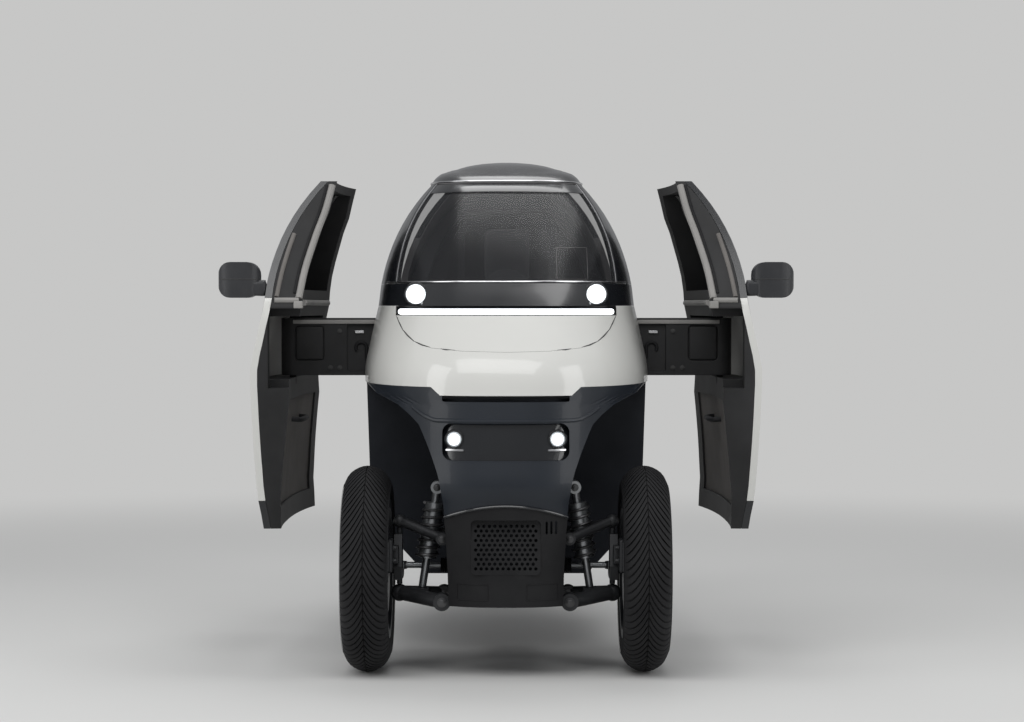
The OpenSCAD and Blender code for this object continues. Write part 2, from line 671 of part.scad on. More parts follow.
// Deck over the rear wheel with a towing eye, and the lugs of the swing arm on the hoop
deck_half = 300;
deck_y1 = rear_y + 135;
eye_r = 12;
leg_x0 = rear_tyre_w / 2 + 16;
leg_t = 30;
leg_x1 = leg_x0 + leg_t;
swing_y = hoop_y1 + 36;
swing_z = 302;
swing_r = 25;
bracket_t = 16;
module rear_frame() {
    y0 = hoop_y1 + half_seam;
    side = [for (y = steps(y0, deck_y1, 8)) [min(deck_half, side_x(deck_z - 60, y, wall + 4)), y]];
    color("#1f2124") difference() {
        union() {
            translate([0, 0, deck_z]) linear_extrude(deck_t) polygon(mirrored(side));
            front_prism([[-34, deck_z + 1], [-26, deck_z - 52], [26, deck_z - 52], [34, deck_z + 1]],
                deck_y1 - 18, deck_y1);
            both_sides() side_prism([[y0, swing_z - 40], [swing_y, swing_z - 34], [swing_y + 30, swing_z],
                [swing_y, swing_z + 34], [y0 + 14, swing_z + 60], [y0 + 90, deck_z + 1], [y0, deck_z + 1]],
                leg_x1 + half_seam, leg_x1 + half_seam + bracket_t);
        }
        cylinder_y(0, deck_y1 - 30, deck_y1 + 30, deck_z - 28, eye_r);
    }
}
// Rear swing arm: two legs on a cross tube, with the axle across their ends
axle_r = 12;
LEG = [[swing_y, swing_z - 22], [swing_y, swing_z + 22], [rear_y - 40, rear_r + 30], [rear_y + 30, rear_r + 22],
    [rear_y + 30, rear_r - 22], [rear_y - 40, rear_r - 26]];
module swing_arm() {
    color("#33363a") {
        both_sides() side_prism(LEG, leg_x0, leg_x1);
        cylinder_x(-leg_x1, leg_x1, swing_y, swing_z, swing_r);
        cylinder_x(-leg_x1 + 1, leg_x1 - 1, rear_y, rear_r, axle_r);
    }
}
rear_shock_x = leg_x0 + leg_t / 2;
rear_shock_y = rear_y - 98;
rear_eye = 14;
module rear_shocks() {
    foot_z = lookup(rear_shock_y, [LEG[1], LEG[2]]) + rear_eye + 2 * seam;
    top_z = deck_z - rear_eye - half_seam;
    color("#55585c") both_sides() {
        for (z = [foot_z, top_z]) cylinder_x(rear_shock_x - 14, rear_shock_x + 14, rear_shock_y, z, rear_eye);
        translate([rear_shock_x, rear_shock_y, foot_z]) cylinder(h = top_z - foot_z, r = 9);
        translate([rear_shock_x, rear_shock_y, foot_z + 46]) cylinder(h = top_z - foot_z - 72, r = 22);
    }
}
guard_gap = 9;
guard_t = 4;
guard_lip = 30;
stay_t = 6;
module rear_mudguard() {
    half = leg_x0 - half_seam;
    r0 = rear_r + guard_gap;
    r1 = r0 - guard_lip;
    color("#17181a") {
        translate([0, rear_y, rear_r]) rotate([0, 90, 0]) rotate([0, 0, 62])
            rotate_extrude(angle = 130) polygon([[r1, -half], [r0, -half + 14], [r0, half - 14], [r1, half],
                [r1 + guard_t, half], [r0 + guard_t, half - 12], [r0 + guard_t, -half + 12],
                [r1 + guard_t, -half]]);
        both_sides() box(half - stay_t, half, rear_y - 12, rear_y + 12, rear_r + axle_r + 2, rear_r + r1 + 3);
    }
}

// Front suspension. Points are given for the left side.
hub_x = track / 2;
ball_x = hub_x - 89;
upper_ball = [ball_x, front_y, front_r + 134];
lower_ball = [ball_x, front_y, front_r - 68];
stub_r = 14;
link_y = front_y + 96;
shock_foot = [236, front_y, front_r - 52];
shock_eye = 18;
shock_top_z = 520;
function core_half(z) = lookup(z, FASCIA) - core_lap + half_seam;
shock_top = [core_half(shock_top_z) + shock_eye + 1, front_y, shock_top_z];
upper_ball_r = 18.6;
lower_ball_r = 24.6;
upper_bush_r = 17;
lower_bush_r = 24;
function inner_end(z, dy, r) = [core_half(z) + r, front_y + dy, z];
module suspension_arms() {
    color("#3a3d40") both_sides() {
        for (dy = [-86, 86]) {
            rod(upper_ball, inner_end(382, dy, upper_bush_r), 13);
            translate(inner_end(382, dy, upper_bush_r) + [0, -22, 0]) rotate([-90, 0, 0])
                cylinder(h = 44, r = upper_bush_r);
            rod(lower_ball, inner_end(208, dy * 1.2, lower_bush_r), 20);
            translate(inner_end(208, dy * 1.2, lower_bush_r) + [0, -26, 0]) rotate([-90, 0, 0])
                cylinder(h = 52, r = lower_bush_r);
        }
        translate(upper_ball) sphere(r = upper_ball_r);
        translate(lower_ball) sphere(r = lower_ball_r);
        translate([shock_foot[0] - 18, front_y - 30, lower_ball[2] - 16])
            cube([50, 60, shock_foot[2] - lower_ball[2] + 14]);
        difference() {
            cylinder_x(boot_x0, boot_x1, link_y, front_r, boot_r);
            cylinder_x(boot_x0 - 1, boot_x1 + 1, link_y, front_r, rod_r + fit);
        }
    }
}
// Steering rack: a bar that slides in two boots and ends in eyes over the knuckles' steering arms
rod_r = 9;
boot_r = 19;
boot_x0 = core_half(front_r) + seam;
boot_x1 = boot_x0 + 30;
eye_h = 22;
tie_x = ball_x - 4;
module steering_rack() {
    color("#46494d") {
        cylinder_x(-tie_x, tie_x, link_y, front_r, rod_r);
        both_sides() translate([tie_x, link_y, front_r - eye_h / 2]) cylinder(h = eye_h, r = 13);
    }
}
module front_shocks() {
    color("#55585c") both_sides() {
        up = (shock_top - shock_foot) / norm(shock_top - shock_foot);
        rod(shock_foot, shock_top, 11);
        rod(shock_foot + up * 84, shock_foot + up * 240, 26);
        translate(shock_top) rotate([90, 0, 0]) cylinder(h = 50, r = shock_eye, center = true);
    }
}
// Uprights with the stub axles of the front wheels, and a steering arm under each tie rod
upright_t = 22;
module knuckle() {
    x0 = ball_x - 8;
    arm_top = front_r - eye_h / 2 - half_seam;
    low = front_r - 30;
    high = front_r + 98;
    color("#3d4043") {
        side_prism([[front_y - 30, low], [front_y + 34, low], [front_y + 58, arm_top - 22],
            [link_y + 16, arm_top - 16], [link_y + 16, arm_top], [front_y + 58, arm_top],
            [front_y + 50, front_r + 40], [front_y + 20, high], [front_y - 20, high],
            [front_y - 50, front_r + 10]], x0, x0 + upright_t);
        translate([ball_x, front_y, lower_ball[2] + lower_ball_r + half_seam]) cylinder(h = 20, r = 8);
        translate([ball_x, front_y, high - 5])
            cylinder(h = upper_ball[2] - upper_ball_r - half_seam - high + 5, r = 8);
        cylinder_x(x0 + 1, hub_x + 30, front_y, front_r, stub_r);
    }
}
module left_knuckle() {
    knuckle();
}
module right_knuckle() {
    mirror([1, 0, 0]) knuckle();
}

/* Wheels, drawn about their own axle along X, outer side towards +X */

module at_axle(x, y, z) {
    translate([x, y, z]) rotate([0, 90, 0]) children();
}
// Round-crowned tyre: columns are a share of the half width and a share of the wall height
TYRE = [
    [0.8, 0], [0.86, 0.1], [0.96, 0.34], [1, 0.5], [0.97, 0.64], [0.86, 0.8], [0.68, 0.91], [0.45, 0.97], [0.2, 1]
];
module tyre(d, w, bead_d) {
    wall_h = (d - bead_d) / 2;
    half = [for (p = TYRE) [bead_d / 2 + p[1] * wall_h, p[0] * w / 2]];
    color("#17181a") rotate_extrude($fn = 96) polygon(concat(
        half, [for (i = [len(half) - 1:-1:0]) [half[i][0], -half[i][1]]]));
}
spokes = 5;
flange_t = 5;
flange_h = 8;
module wheel(bead_d, tyre_w, bore_r, hub_r, hub_in, hub_out, disc_r, disc_z) {
    r = bead_d / 2 - half_seam;
    f = TYRE[1][0] * tyre_w / 2 + half_seam;
    b = f + flange_t;
    color("#3b3e42") difference() {
        union() {
            rotate_extrude() polygon([[r - 14, -b], [r + flange_h, -b], [r + flange_h, -f], [r, -f], [r, f],
                [r + flange_h, f], [r + flange_h, b], [r - 14, b], [r - 22, b - 16], [r - 22, -b + 16]]);
            translate([0, 0, -hub_in]) cylinder(h = hub_in + hub_out, r = hub_r);
            for (k = [0:spokes - 1]) rotate([0, 0, 360 * (k + 0.5) / spokes])
                linear_extrude(20) polygon([[hub_r - 8, -22], [r - 17, -17], [r - 17, 17], [hub_r - 8, 22]]);
            translate([0, 0, disc_z]) cylinder(h = 5, r = disc_r);
        }
        translate([0, 0, -hub_in - 1]) cylinder(h = 400, r = bore_r);
        for (k = [0:11]) rotate([0, 0, 30 * k + 15])
            translate([(hub_r + disc_r) / 2, 0, disc_z - 1]) cylinder(h = 8, r = 5);
    }
}
front_hub_in = 58;
front_disc_z = -56;
rear_hub_half = leg_x0 - 16;
motor_r = 88;
module front_tyre() {
    tyre(front_tyre_d, front_tyre_w, front_rim_d);
}
module front_wheel() {
    wheel(front_rim_d, front_tyre_w, stub_r + fit, 40, front_hub_in, 40, 126, front_disc_z);
}
module left_tyre() {
    at_axle(hub_x, front_y, front_r) front_tyre();
}
module left_wheel() {
    at_axle(hub_x, front_y, front_r) front_wheel();
}
module right_tyre() {
    mirror([1, 0, 0]) left_tyre();
}
module right_wheel() {
    mirror([1, 0, 0]) left_wheel();
}
module rear_tyre() {
    at_axle(0, rear_y, rear_r) tyre(rear_tyre_d, rear_tyre_w, rear_rim_d);
}
module rear_wheel() {
    at_axle(0, rear_y, rear_r)
        wheel(rear_rim_d, rear_tyre_w, axle_r + fit, motor_r, rear_hub_half, rear_hub_half, 106, -40);
}

/* Doors, drawn closed on the left side and moved out along the arm */

// At rest the arm points outwards, so the door stands out and forward of its opening
module opened() {
    translate([arm_len, -arm_len, 0]) children();
}
door_pin_y = pivot_y + arm_len;
pocket_depth = 9;
// Pockets in the arm's front face: x from, rise from the foot, x to, drop from the top, corner radius
ARM_POCKETS = [[45, 10, arm_len / 2 - 8, 18, 8], [arm_len - 97, 44, arm_len - 8, 22, 14]];
module arm() {
    color("#2f3032") difference() {
        union() {
            for (x = [pivot_x, pivot_x + arm_len])
                translate([x, pivot_y, arm_z0]) cylinder(h = arm_h, r = arm_t / 2);
            box(pivot_x, pivot_x + arm_len, pivot_y - arm_t / 2, pivot_y + arm_t / 2, arm_z0, arm_z1);
        }
        for (x = [pivot_x, pivot_x + arm_len])
            translate([x, pivot_y, arm_z0 - 1]) cylinder(h = arm_h + 2, r = pin_r + fit);
        for (p = ARM_POCKETS)
            front_prism(round_rect(pivot_x + p[0], arm_z0 + p[1], pivot_x + p[2], arm_z1 - p[3], p[4]),
                pivot_y - arm_t / 2 - 1, pivot_y - arm_t / 2 + pocket_depth);
    }
}
// Rails of the door frame: the hollow between the middle two takes the arm
jamb = 62;
sill_h = 60;
waist_z = 1053;
skin_base = 470;
window_z0 = 1078;
window_z1 = roof_base - 30;
window_margin = 52;
arm_room_z0 = arm_z0 - lug_gap;
arm_room_z1 = arm_z1 + lug_gap;
rail_z0 = 756;
window_front = function (z) door_front(z) + window_margin;
window_rear = function (z) door_rear(z) - window_margin;
jamb_front = function (z) door_front(z) + jamb;
jamb_rear = function (z) door_rear(z) - jamb;
// Side view of the part of the door between two heights and two edges
function square_band(from, to, z0, z1) = [[from(z0), z0], [to(z0), z0], [to(z1), z1], [from(z1), z1]];
// Depth of the frame behind the body's outer face: full where it holds the arm, thin at the sill and the roof
sill_depth = 50;
top_depth = 42;
DOOR_DEPTH = [[door_base, sill_depth], [rail_z0, door_depth], [roof_base - 200, door_depth],
    [roof_base - 100, mix(top_depth, door_depth, 0.8)], [roof_base - 34, mix(top_depth, door_depth, 0.35)],
    [roof_base, top_depth]];
frame_outside = function (z) wall + facet_gap;
frame_inside = function (z) lookup(z, DOOR_DEPTH);
// The frame's front face leans back, so that the door clears its opening as it swings out
leaning_front = function (z) door_front(z) + arm_len - sqrt(arm_len * arm_len - pow(frame_inside(z), 2));
module door_frame() {
    rows = steps(door_base, door_top, 22);
    color("#2f3032") {
        difference() {
            slab(side_grid(rows, door_front, door_rear, frame_outside, 12),
                side_grid(rows, leaning_front, door_rear, frame_inside, 12));
            side_prism(square_band(window_front, window_rear, window_z0, window_z1), 0, 600);
            side_prism(square_band(jamb_front, jamb_rear, arm_room_z0, arm_room_z1), 0, 600);
            side_prism(square_band(jamb_front, jamb_rear, door_base + sill_h, rail_z0), 0, 600);
            box(pivot_x - 200, pivot_x + arm_t / 2 + 7, door_y0 - 10, pivot_y + lug_r + 8,
                arm_room_z0 - lug_t - 8, arm_room_z1 + lug_t + 8);
        }
        translate([pivot_x, door_pin_y, arm_room_z0 - 20])
            cylinder(h = arm_room_z1 - arm_room_z0 + 40, r = pin_r);
    }
}
module door_skin() {
    color("#dededa") side_panel(steps(skin_base + half_seam, waist_z - half_seam, 14), door_front, door_rear,
        0, wall, 12);
}
module door_trim() {
    color("#0e0f12") {
        difference() {
            side_panel(steps(waist_z + half_seam, door_top, 10), door_front, door_rear, 0, wall, 12);
            side_prism(square_band(window_front, window_rear, window_z0, window_z1), 0, 600);
        }
        side_panel(steps(door_base, skin_base - half_seam, 2), door_front, door_rear, 0, wall, 12);
    }
}
glass_front = function (z) window_front(z) + half_seam;
glass_rear = function (z) window_rear(z) - half_seam;
module door_glass() {
    color("#30363c", 0.6) side_panel(steps(window_z0 + half_seam, window_z1 - half_seam, 8), glass_front,
        glass_rear, glass_inset, glass_inset + glass_t, 10);
}
card_front = function (z) jamb_front(z) + half_seam;
card_rear = function (z) jamb_rear(z) - half_seam;
card_outside = function (z) frame_inside(z) - 34;
card_inside = function (z) frame_inside(z) - 6;
module door_card() {
    rows = steps(door_base + sill_h + half_seam, rail_z0 - half_seam, 8);
    color("#55514e") slab(side_grid(rows, card_front, card_rear, card_outside, 8),
        side_grid(rows, card_front, card_rear, card_inside, 8));
}
// Mirror on a short foot at the front lower corner of the door window
mirror_w = 120;
mirror_h = 103;
mirror_d = 74;
mirror_z = 1105;
mirror_y = door_y0 + 48;
foot_r = 14;
// The door's facets lie this much inside its true curve at the mirror
facet_sag = 1.3;
// Plan of the mirror housing: a flat rear face and a bowed front
function mirror_plan(x0, x1) = concat(
    [[x0, mirror_y + mirror_d / 2], [x0, mirror_y]],
    [for (a = [170:-20:10]) [(x0 + x1) / 2 + mirror_w / 2 * cos(a), mirror_y - mirror_d / 2 * sin(a)]],
    [[x1, mirror_y], [x1, mirror_y + mirror_d / 2]]
);
module door_mirror() {
    root = side_x(mirror_z, mirror_y, 0);
    x0 = root + 22;
    x1 = x0 + mirror_w;
    color("#2e2f32") {
        intersection() {
            front_prism(round_rect(x0, mirror_z - mirror_h / 2, x1, mirror_z + mirror_h / 2, 36),
                mirror_y - mirror_d, mirror_y + mirror_d);
            translate([0, 0, mirror_z - mirror_h])
                linear_extrude(2 * mirror_h) polygon(mirror_plan(x0, x1));
        }
        cylinder_x(side_x(mirror_z - 2 * foot_r, mirror_y + foot_r, 0) - facet_sag, x0 + 20, mirror_y,
            mirror_z - foot_r, foot_r);
    }
}
module left_arm() {
    arm();
}
module left_door_frame() {
    opened() door_frame();
}
module left_door_skin() {
    opened() door_skin();
}
module left_door_trim() {
    opened() door_trim();
}
module left_door_glass() {
    opened() door_glass();
}
module left_door_card() {
    opened() door_card();
}
module left_mirror() {
    opened() door_mirror();
}
module right_arm() {
    mirror([1, 0, 0]) left_arm();
}
module right_door_frame() {
    mirror([1, 0, 0]) left_door_frame();
}
module right_door_skin() {
    mirror([1, 0, 0]) left_door_skin();
}
module right_door_trim() {
    mirror([1, 0, 0]) left_door_trim();
}
module right_door_glass() {
    mirror([1, 0, 0]) left_door_glass();
}
module right_door_card() {
    mirror([1, 0, 0]) left_door_card();
}
module right_mirror() {
    mirror([1, 0, 0]) left_mirror();
}

tub();
rear_hoop();
nose_core();
fascia();
grille_panel();
grille_mesh();
lamp_tray();
lower_lamps();
cowl();
nose_panel();
lamp_band();
light_bar();
upper_lamps();
windscreen();
pillars();
roof();
rear_body();
rear_canopy();
rear_glass();
tail_lamps();
hinge_posts();
dashboard();
steering_column();
driver_seat();
passenger_seat();
battery();
rear_frame();
suspension_arms();
front_shocks();
steering_wheel();
steering_rack();
left_knuckle();
right_knuckle();
swing_arm();
rear_shocks();
rear_mudguard();
left_tyre();
left_wheel();
right_tyre();
right_wheel();
rear_tyre();
rear_wheel();
left_arm();
left_door_frame();
left_door_skin();
left_door_trim();
left_door_glass();
left_door_card();
left_mirror();
right_arm();
right_door_frame();
right_door_skin();
right_door_trim();
right_door_glass();
right_door_card();
right_mirror();
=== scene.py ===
"""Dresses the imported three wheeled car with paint, glass, lamps, tread, trim and seats.

Everything is in metres in the frame of the CAD model: the front is -Y, up is +Z, the car's left is +X.
"""
import json
from math import cos, pi, radians, sin

import bpy
from mathutils import Matrix, Vector
from mathutils.bvhtree import BVHTree


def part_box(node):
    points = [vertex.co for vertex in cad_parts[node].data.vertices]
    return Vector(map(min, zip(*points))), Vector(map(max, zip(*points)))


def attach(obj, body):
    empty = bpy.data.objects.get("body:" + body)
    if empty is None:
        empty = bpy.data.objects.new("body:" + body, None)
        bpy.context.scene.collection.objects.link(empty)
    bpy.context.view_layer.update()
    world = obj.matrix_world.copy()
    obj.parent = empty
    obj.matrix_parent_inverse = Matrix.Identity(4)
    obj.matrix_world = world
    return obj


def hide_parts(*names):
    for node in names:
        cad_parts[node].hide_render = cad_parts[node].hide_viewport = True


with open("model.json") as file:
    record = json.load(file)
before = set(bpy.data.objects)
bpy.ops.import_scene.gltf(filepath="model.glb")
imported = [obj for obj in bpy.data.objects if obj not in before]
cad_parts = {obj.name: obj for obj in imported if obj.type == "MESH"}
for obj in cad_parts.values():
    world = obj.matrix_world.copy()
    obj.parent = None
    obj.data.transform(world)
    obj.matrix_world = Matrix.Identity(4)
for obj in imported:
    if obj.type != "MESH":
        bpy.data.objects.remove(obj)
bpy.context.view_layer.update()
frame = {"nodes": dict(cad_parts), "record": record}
NODES = frame["nodes"]
BODY_OF = {n: body for body, nodes in frame["record"]["behaviour"]["bodies"].items() for n in nodes}
SLOT_OF = {row["node"]: row["material_slot"] for row in frame["record"]["subparts"]}
SIDES = (("left", 1), ("right", -1))
ROOM = (0.57, 0.57, 0.565, 1)

# Camera, floor and light


def photo_camera():
    """Camera straight ahead of the car, a little above the middle of its height."""
    bpy.ops.object.camera_add(location=(0.017, -8.05, 1.03), rotation=(radians(90 - 1.233), 0, 0))
    camera = bpy.context.object
    camera.data.sensor_width = 36
    camera.data.lens = 89.9
    bpy.context.scene.camera = camera


def soft_lamp(name, place, aim, width, height, watts):
    bpy.ops.object.light_add(type="AREA", location=place)
    lamp = bpy.context.object
    lamp.name = name
    lamp.data.shape = "RECTANGLE"
    lamp.data.size = width
    lamp.data.size_y = height
    lamp.data.energy = watts
    lamp.rotation_euler = (Vector(aim) - Vector(place)).to_track_quat("-Z", "Y").to_euler()


def pale_floor():
    """Wide floor that keeps the car's shadow and fades into the pale surroundings further out."""
    bpy.ops.mesh.primitive_plane_add(size=80)
    floor = bpy.context.object
    floor.name = "studio_floor"
    paper = bpy.data.materials.new("pale_floor")
    paper.use_nodes = True
    tree = paper.node_tree
    shader = tree.nodes["Principled BSDF"]
    shader.inputs["Base Color"].default_value = (0.60, 0.60, 0.59, 1)
    shader.inputs["Roughness"].default_value = 0.75
    place = tree.nodes.new("ShaderNodeTexCoord")
    reach = tree.nodes.new("ShaderNodeVectorMath")
    reach.operation = "LENGTH"
    fade = tree.nodes.new("ShaderNodeMapRange")
    fade.interpolation_type = "SMOOTHSTEP"
    fade.inputs["From Min"].default_value = 2.4
    fade.inputs["From Max"].default_value = 6.5
    far = tree.nodes.new("ShaderNodeEmission")
    far.inputs["Color"].default_value = ROOM
    blend = tree.nodes.new("ShaderNodeMixShader")
    tree.links.new(place.outputs["Object"], reach.inputs[0])
    tree.links.new(reach.outputs["Value"], fade.inputs["Value"])
    tree.links.new(fade.outputs["Result"], blend.inputs["Fac"])
    tree.links.new(shader.outputs["BSDF"], blend.inputs[1])
    tree.links.new(far.outputs["Emission"], blend.inputs[2])
    tree.links.new(blend.outputs["Shader"], tree.nodes["Material Output"].inputs["Surface"])
    floor.data.materials.append(paper)


def studio():
    """Pale floor and surroundings, with soft lamps ahead, at the sides and behind."""
    pale_floor()
    world = bpy.data.worlds.new("pale_room")
    bpy.context.scene.world = world
    world.use_nodes = True
    tree = world.node_tree
    sky = tree.nodes["Background"]
    sky.inputs["Color"].default_value = (0.80, 0.81, 0.83, 1)
    sky.inputs["Strength"].default_value = 0.42
    seen = tree.nodes.new("ShaderNodeBackground")
    seen.inputs["Color"].default_value = ROOM
    path = tree.nodes.new("ShaderNodeLightPath")
    blend = tree.nodes.new("ShaderNodeMixShader")
    tree.links.new(path.outputs["Is Camera Ray"], blend.inputs["Fac"])
    tree.links.new(sky.outputs["Background"], blend.inputs[1])
    tree.links.new(seen.outputs["Background"], blend.inputs[2])
    tree.links.new(blend.outputs["Shader"], tree.nodes["World Output"].inputs["Surface"])
    soft_lamp("key_lamp", (-0.8, -4.2, 5.2), (0, -0.3, 0.7), 6.0, 3.4, 190)
    soft_lamp("left_lamp", (4.8, -2.6, 2.6), (0, 0, 0.8), 2.4, 3.6, 80)
    soft_lamp("right_lamp", (-4.8, -2.4, 2.6), (0, 0, 0.8), 2.4, 3.6, 80)
    soft_lamp("back_lamp", (0.6, 2.6, 6.0), (0, 0.5, 0.8), 4.4, 3.0, 110)


photo_camera()
studio()

# Finishes, one for each material slot of the record


def finish(name, colour, roughness, **more):
    """A new finish. Words in a socket's name are joined by an underscore."""
    material = bpy.data.materials.new(name)
    material.use_nodes = True
    shader = material.node_tree.nodes["Principled BSDF"]
    shader.inputs["Base Color"].default_value = (*colour, 1)
    shader.inputs["Roughness"].default_value = roughness
    for word, value in more.items():
        shader.inputs[word.replace("_", " ")].default_value = value
    return material


def place_on(material, scale):
    """Object coordinates, stretched, for a pattern that stays on its piece."""
    tree = material.node_tree
    place = tree.nodes.new("ShaderNodeTexCoord")
    mapping = tree.nodes.new("ShaderNodeMapping")
    mapping.inputs["Scale"].default_value = scale
    tree.links.new(place.outputs["Object"], mapping.inputs["Vector"])
    return mapping.outputs["Vector"]


def clouds(material, socket, scale, low, high, stretch=(1, 1, 1)):
    """Soft variation of a colour, or of a roughness given as a grey."""
    tree = material.node_tree
    noise = tree.nodes.new("ShaderNodeTexNoise")
    noise.inputs["Scale"].default_value = scale
    noise.inputs["Detail"].default_value = 5
    ramp = tree.nodes.new("ShaderNodeValToRGB")
    first, last = ramp.color_ramp.elements
    first.position, last.position = 0.32, 0.7
    first.color, last.color = (*low, 1), (*high, 1)
    tree.links.new(place_on(material, stretch), noise.inputs["Vector"])
    tree.links.new(noise.outputs["Fac"], ramp.inputs["Fac"])
    tree.links.new(ramp.outputs["Color"], tree.nodes["Principled BSDF"].inputs[socket])


def relief(material, kind, scale, depth, stretch=(1, 1, 1)):
    """Fine relief of the surface: Noise for paint and castings, Voronoi for moulded grain, Wave for weave."""
    tree = material.node_tree
    texture = tree.nodes.new("ShaderNodeTex" + kind)
    texture.inputs["Scale"].default_value = scale
    bump = tree.nodes.new("ShaderNodeBump")
    bump.inputs["Strength"].default_value = 0.6
    bump.inputs["Distance"].default_value = depth
    tree.links.new(place_on(material, stretch), texture.inputs["Vector"])
    height = "Distance" if kind == "Voronoi" else "Fac"
    tree.links.new(texture.outputs[height], bump.inputs["Height"])
    tree.links.new(bump.outputs["Normal"], tree.nodes["Principled BSDF"].inputs["Normal"])


def body_paint(name, low, high, roughness, coat):
    material = finish(name, high, roughness, Coat_Weight=coat, Coat_Roughness=0.05, Specular_IOR_Level=0.3)
    clouds(material, "Base Color", 3, low, high)
    relief(material, "Noise", 700, 0.00006)
    return material


def moulded(name, low, high, roughness, grain, depth):
    material = finish(name, high, roughness, Specular_IOR_Level=0.22)
    clouds(material, "Base Color", 9, low, high)
    relief(material, "Voronoi", grain, depth)
    return material


def metal(name, low, high, roughness, metallic, grain):
    material = finish(name, high, roughness, Metallic=metallic)
    clouds(material, "Base Color", 14, low, high)
    relief(material, "Noise", grain, 0.0002)
    return material


def gloss_black_finish():
    material = finish("gloss_black", (0.008, 0.009, 0.011), 0.2, Coat_Weight=0.35, Coat_Roughness=0.08)
    clouds(material, "Roughness", 6, (0.16, 0.16, 0.16), (0.26, 0.26, 0.26))
    return material


def pane(name, colour, alpha, slanted):
    """Tinted pane: see-through face on, less clear at a slant."""
    material = finish(name, colour, 0.2, Specular_IOR_Level=0.6)
    tree = material.node_tree
    slant = tree.nodes.new("ShaderNodeLayerWeight")
    slant.inputs["Blend"].default_value = 0.32
    clear = tree.nodes.new("ShaderNodeMapRange")
    clear.inputs["To Min"].default_value = alpha
    clear.inputs["To Max"].default_value = slanted
    tree.links.new(slant.outputs["Fresnel"], clear.inputs["Value"])
    tree.links.new(clear.outputs["Result"], tree.nodes["Principled BSDF"].inputs["Alpha"])
    return material


def woven_cloth():
    material = finish("seat_cloth", (0.05, 0.05, 0.054), 0.85, Sheen_Weight=0.2, Sheen_Roughness=0.4)
    clouds(material, "Base Color", 30, (0.044, 0.044, 0.048), (0.060, 0.060, 0.065))
    relief(material, "Wave", 260, 0.0005, (1, 1, 1.6))
    return material


def glowing(name, colour, strength):
    return finish(name, (0.9, 0.92, 0.95), 0.2, Emission_Color=(*colour, 1), Emission_Strength=strength)


FINISH = {
    "white_paint": body_paint("white_paint", (0.60, 0.60, 0.575), (0.635, 0.635, 0.61), 0.34, 0.6),
    "navy_paint": body_paint("navy_paint", (0.010, 0.013, 0.018), (0.014, 0.018, 0.025), 0.42, 0.1),
    "dark_shell": moulded("dark_shell", (0.016, 0.018, 0.023), (0.024, 0.027, 0.034), 0.55, 420, 0.00025),
    "gloss_black": gloss_black_finish(),
    "black_plastic": moulded("black_plastic", (0.008, 0.008, 0.009), (0.014, 0.014, 0.015), 0.6, 500, 0.0002),
    "cabin_plastic": moulded(
        "cabin_plastic", (0.024, 0.025, 0.027), (0.036, 0.037, 0.040), 0.65, 380, 0.0003),
    "arm_grey": moulded("arm_grey", (0.020, 0.020, 0.0205), (0.030, 0.030, 0.031), 0.55, 450, 0.0002),
    "card_grey": moulded("card_grey", (0.135, 0.126, 0.119), (0.17, 0.16, 0.152), 0.7, 380, 0.0003),
    "mirror_grey": moulded("mirror_grey", (0.032, 0.033, 0.036), (0.046, 0.047, 0.050), 0.35, 600, 0.0001),
    "clear_glass": pane("clear_glass", (0.030, 0.031, 0.034), 0.06, 0.5),
    "dark_glass": pane("dark_glass", (0.010, 0.011, 0.012), 0.86, 0.96),
    "lamp_lens": pane("lamp_lens", (0.55, 0.58, 0.60), 0.15, 0.9),
    "red_lens": body_paint("red_lens", (0.22, 0.010, 0.010), (0.32, 0.016, 0.014), 0.15, 1.0),
    "seat_cloth": woven_cloth(),
    "grip_leather": moulded("grip_leather", (0.014, 0.014, 0.016), (0.022, 0.022, 0.024), 0.5, 620, 0.0004),
    "battery_case": moulded("battery_case", (0.07, 0.074, 0.078), (0.09, 0.095, 0.1), 0.6, 300, 0.0003),
    "cast_metal": metal("cast_metal", (0.020, 0.021, 0.023), (0.034, 0.035, 0.038), 0.5, 0.3, 160),
    "steel": metal("steel", (0.26, 0.27, 0.28), (0.38, 0.39, 0.40), 0.32, 0.9, 240),
    "rim_metal": metal("rim_metal", (0.055, 0.058, 0.063), (0.085, 0.089, 0.095), 0.36, 0.7, 200),
    "tyre_rubber": moulded("tyre_rubber", (0.009, 0.009, 0.010), (0.016, 0.016, 0.017), 0.75, 260, 0.0004),
    "light_strip": glowing("light_strip", (0.94, 0.97, 1.0), 2.2),
}
lamp_glow = glowing("lamp_glow", (0.96, 0.98, 1.0), 3.0)
bright_trim = metal("bright_trim", (0.50, 0.50, 0.51), (0.62, 0.62, 0.63), 0.22, 1.0, 300)
reflector = metal("reflector", (0.60, 0.61, 0.62), (0.70, 0.71, 0.72), 0.15, 1.0, 120)
seam_rubber = moulded("seam_rubber", (0.05, 0.05, 0.05), (0.07, 0.07, 0.07), 0.8, 300, 0.0002)
dark_bolt = metal("dark_bolt", (0.07, 0.07, 0.072), (0.11, 0.11, 0.113), 0.42, 0.8, 240)
trim_grey = moulded("trim_grey", (0.24, 0.235, 0.225), (0.30, 0.29, 0.28), 0.6, 420, 0.0002)

# Tools for shaping


def alone(piece):
    bpy.ops.object.select_all(action="DESELECT")
    piece.select_set(True)
    bpy.context.view_layer.objects.active = piece


def apply(piece, kind, **values):
    """Adds a modifier with these values and applies it."""
    alone(piece)
    bpy.ops.object.modifier_add(type=kind)
    modifier = piece.modifiers[-1]
    for key, value in values.items():
        setattr(modifier, key, value)
    bpy.ops.object.modifier_apply(modifier=modifier.name)


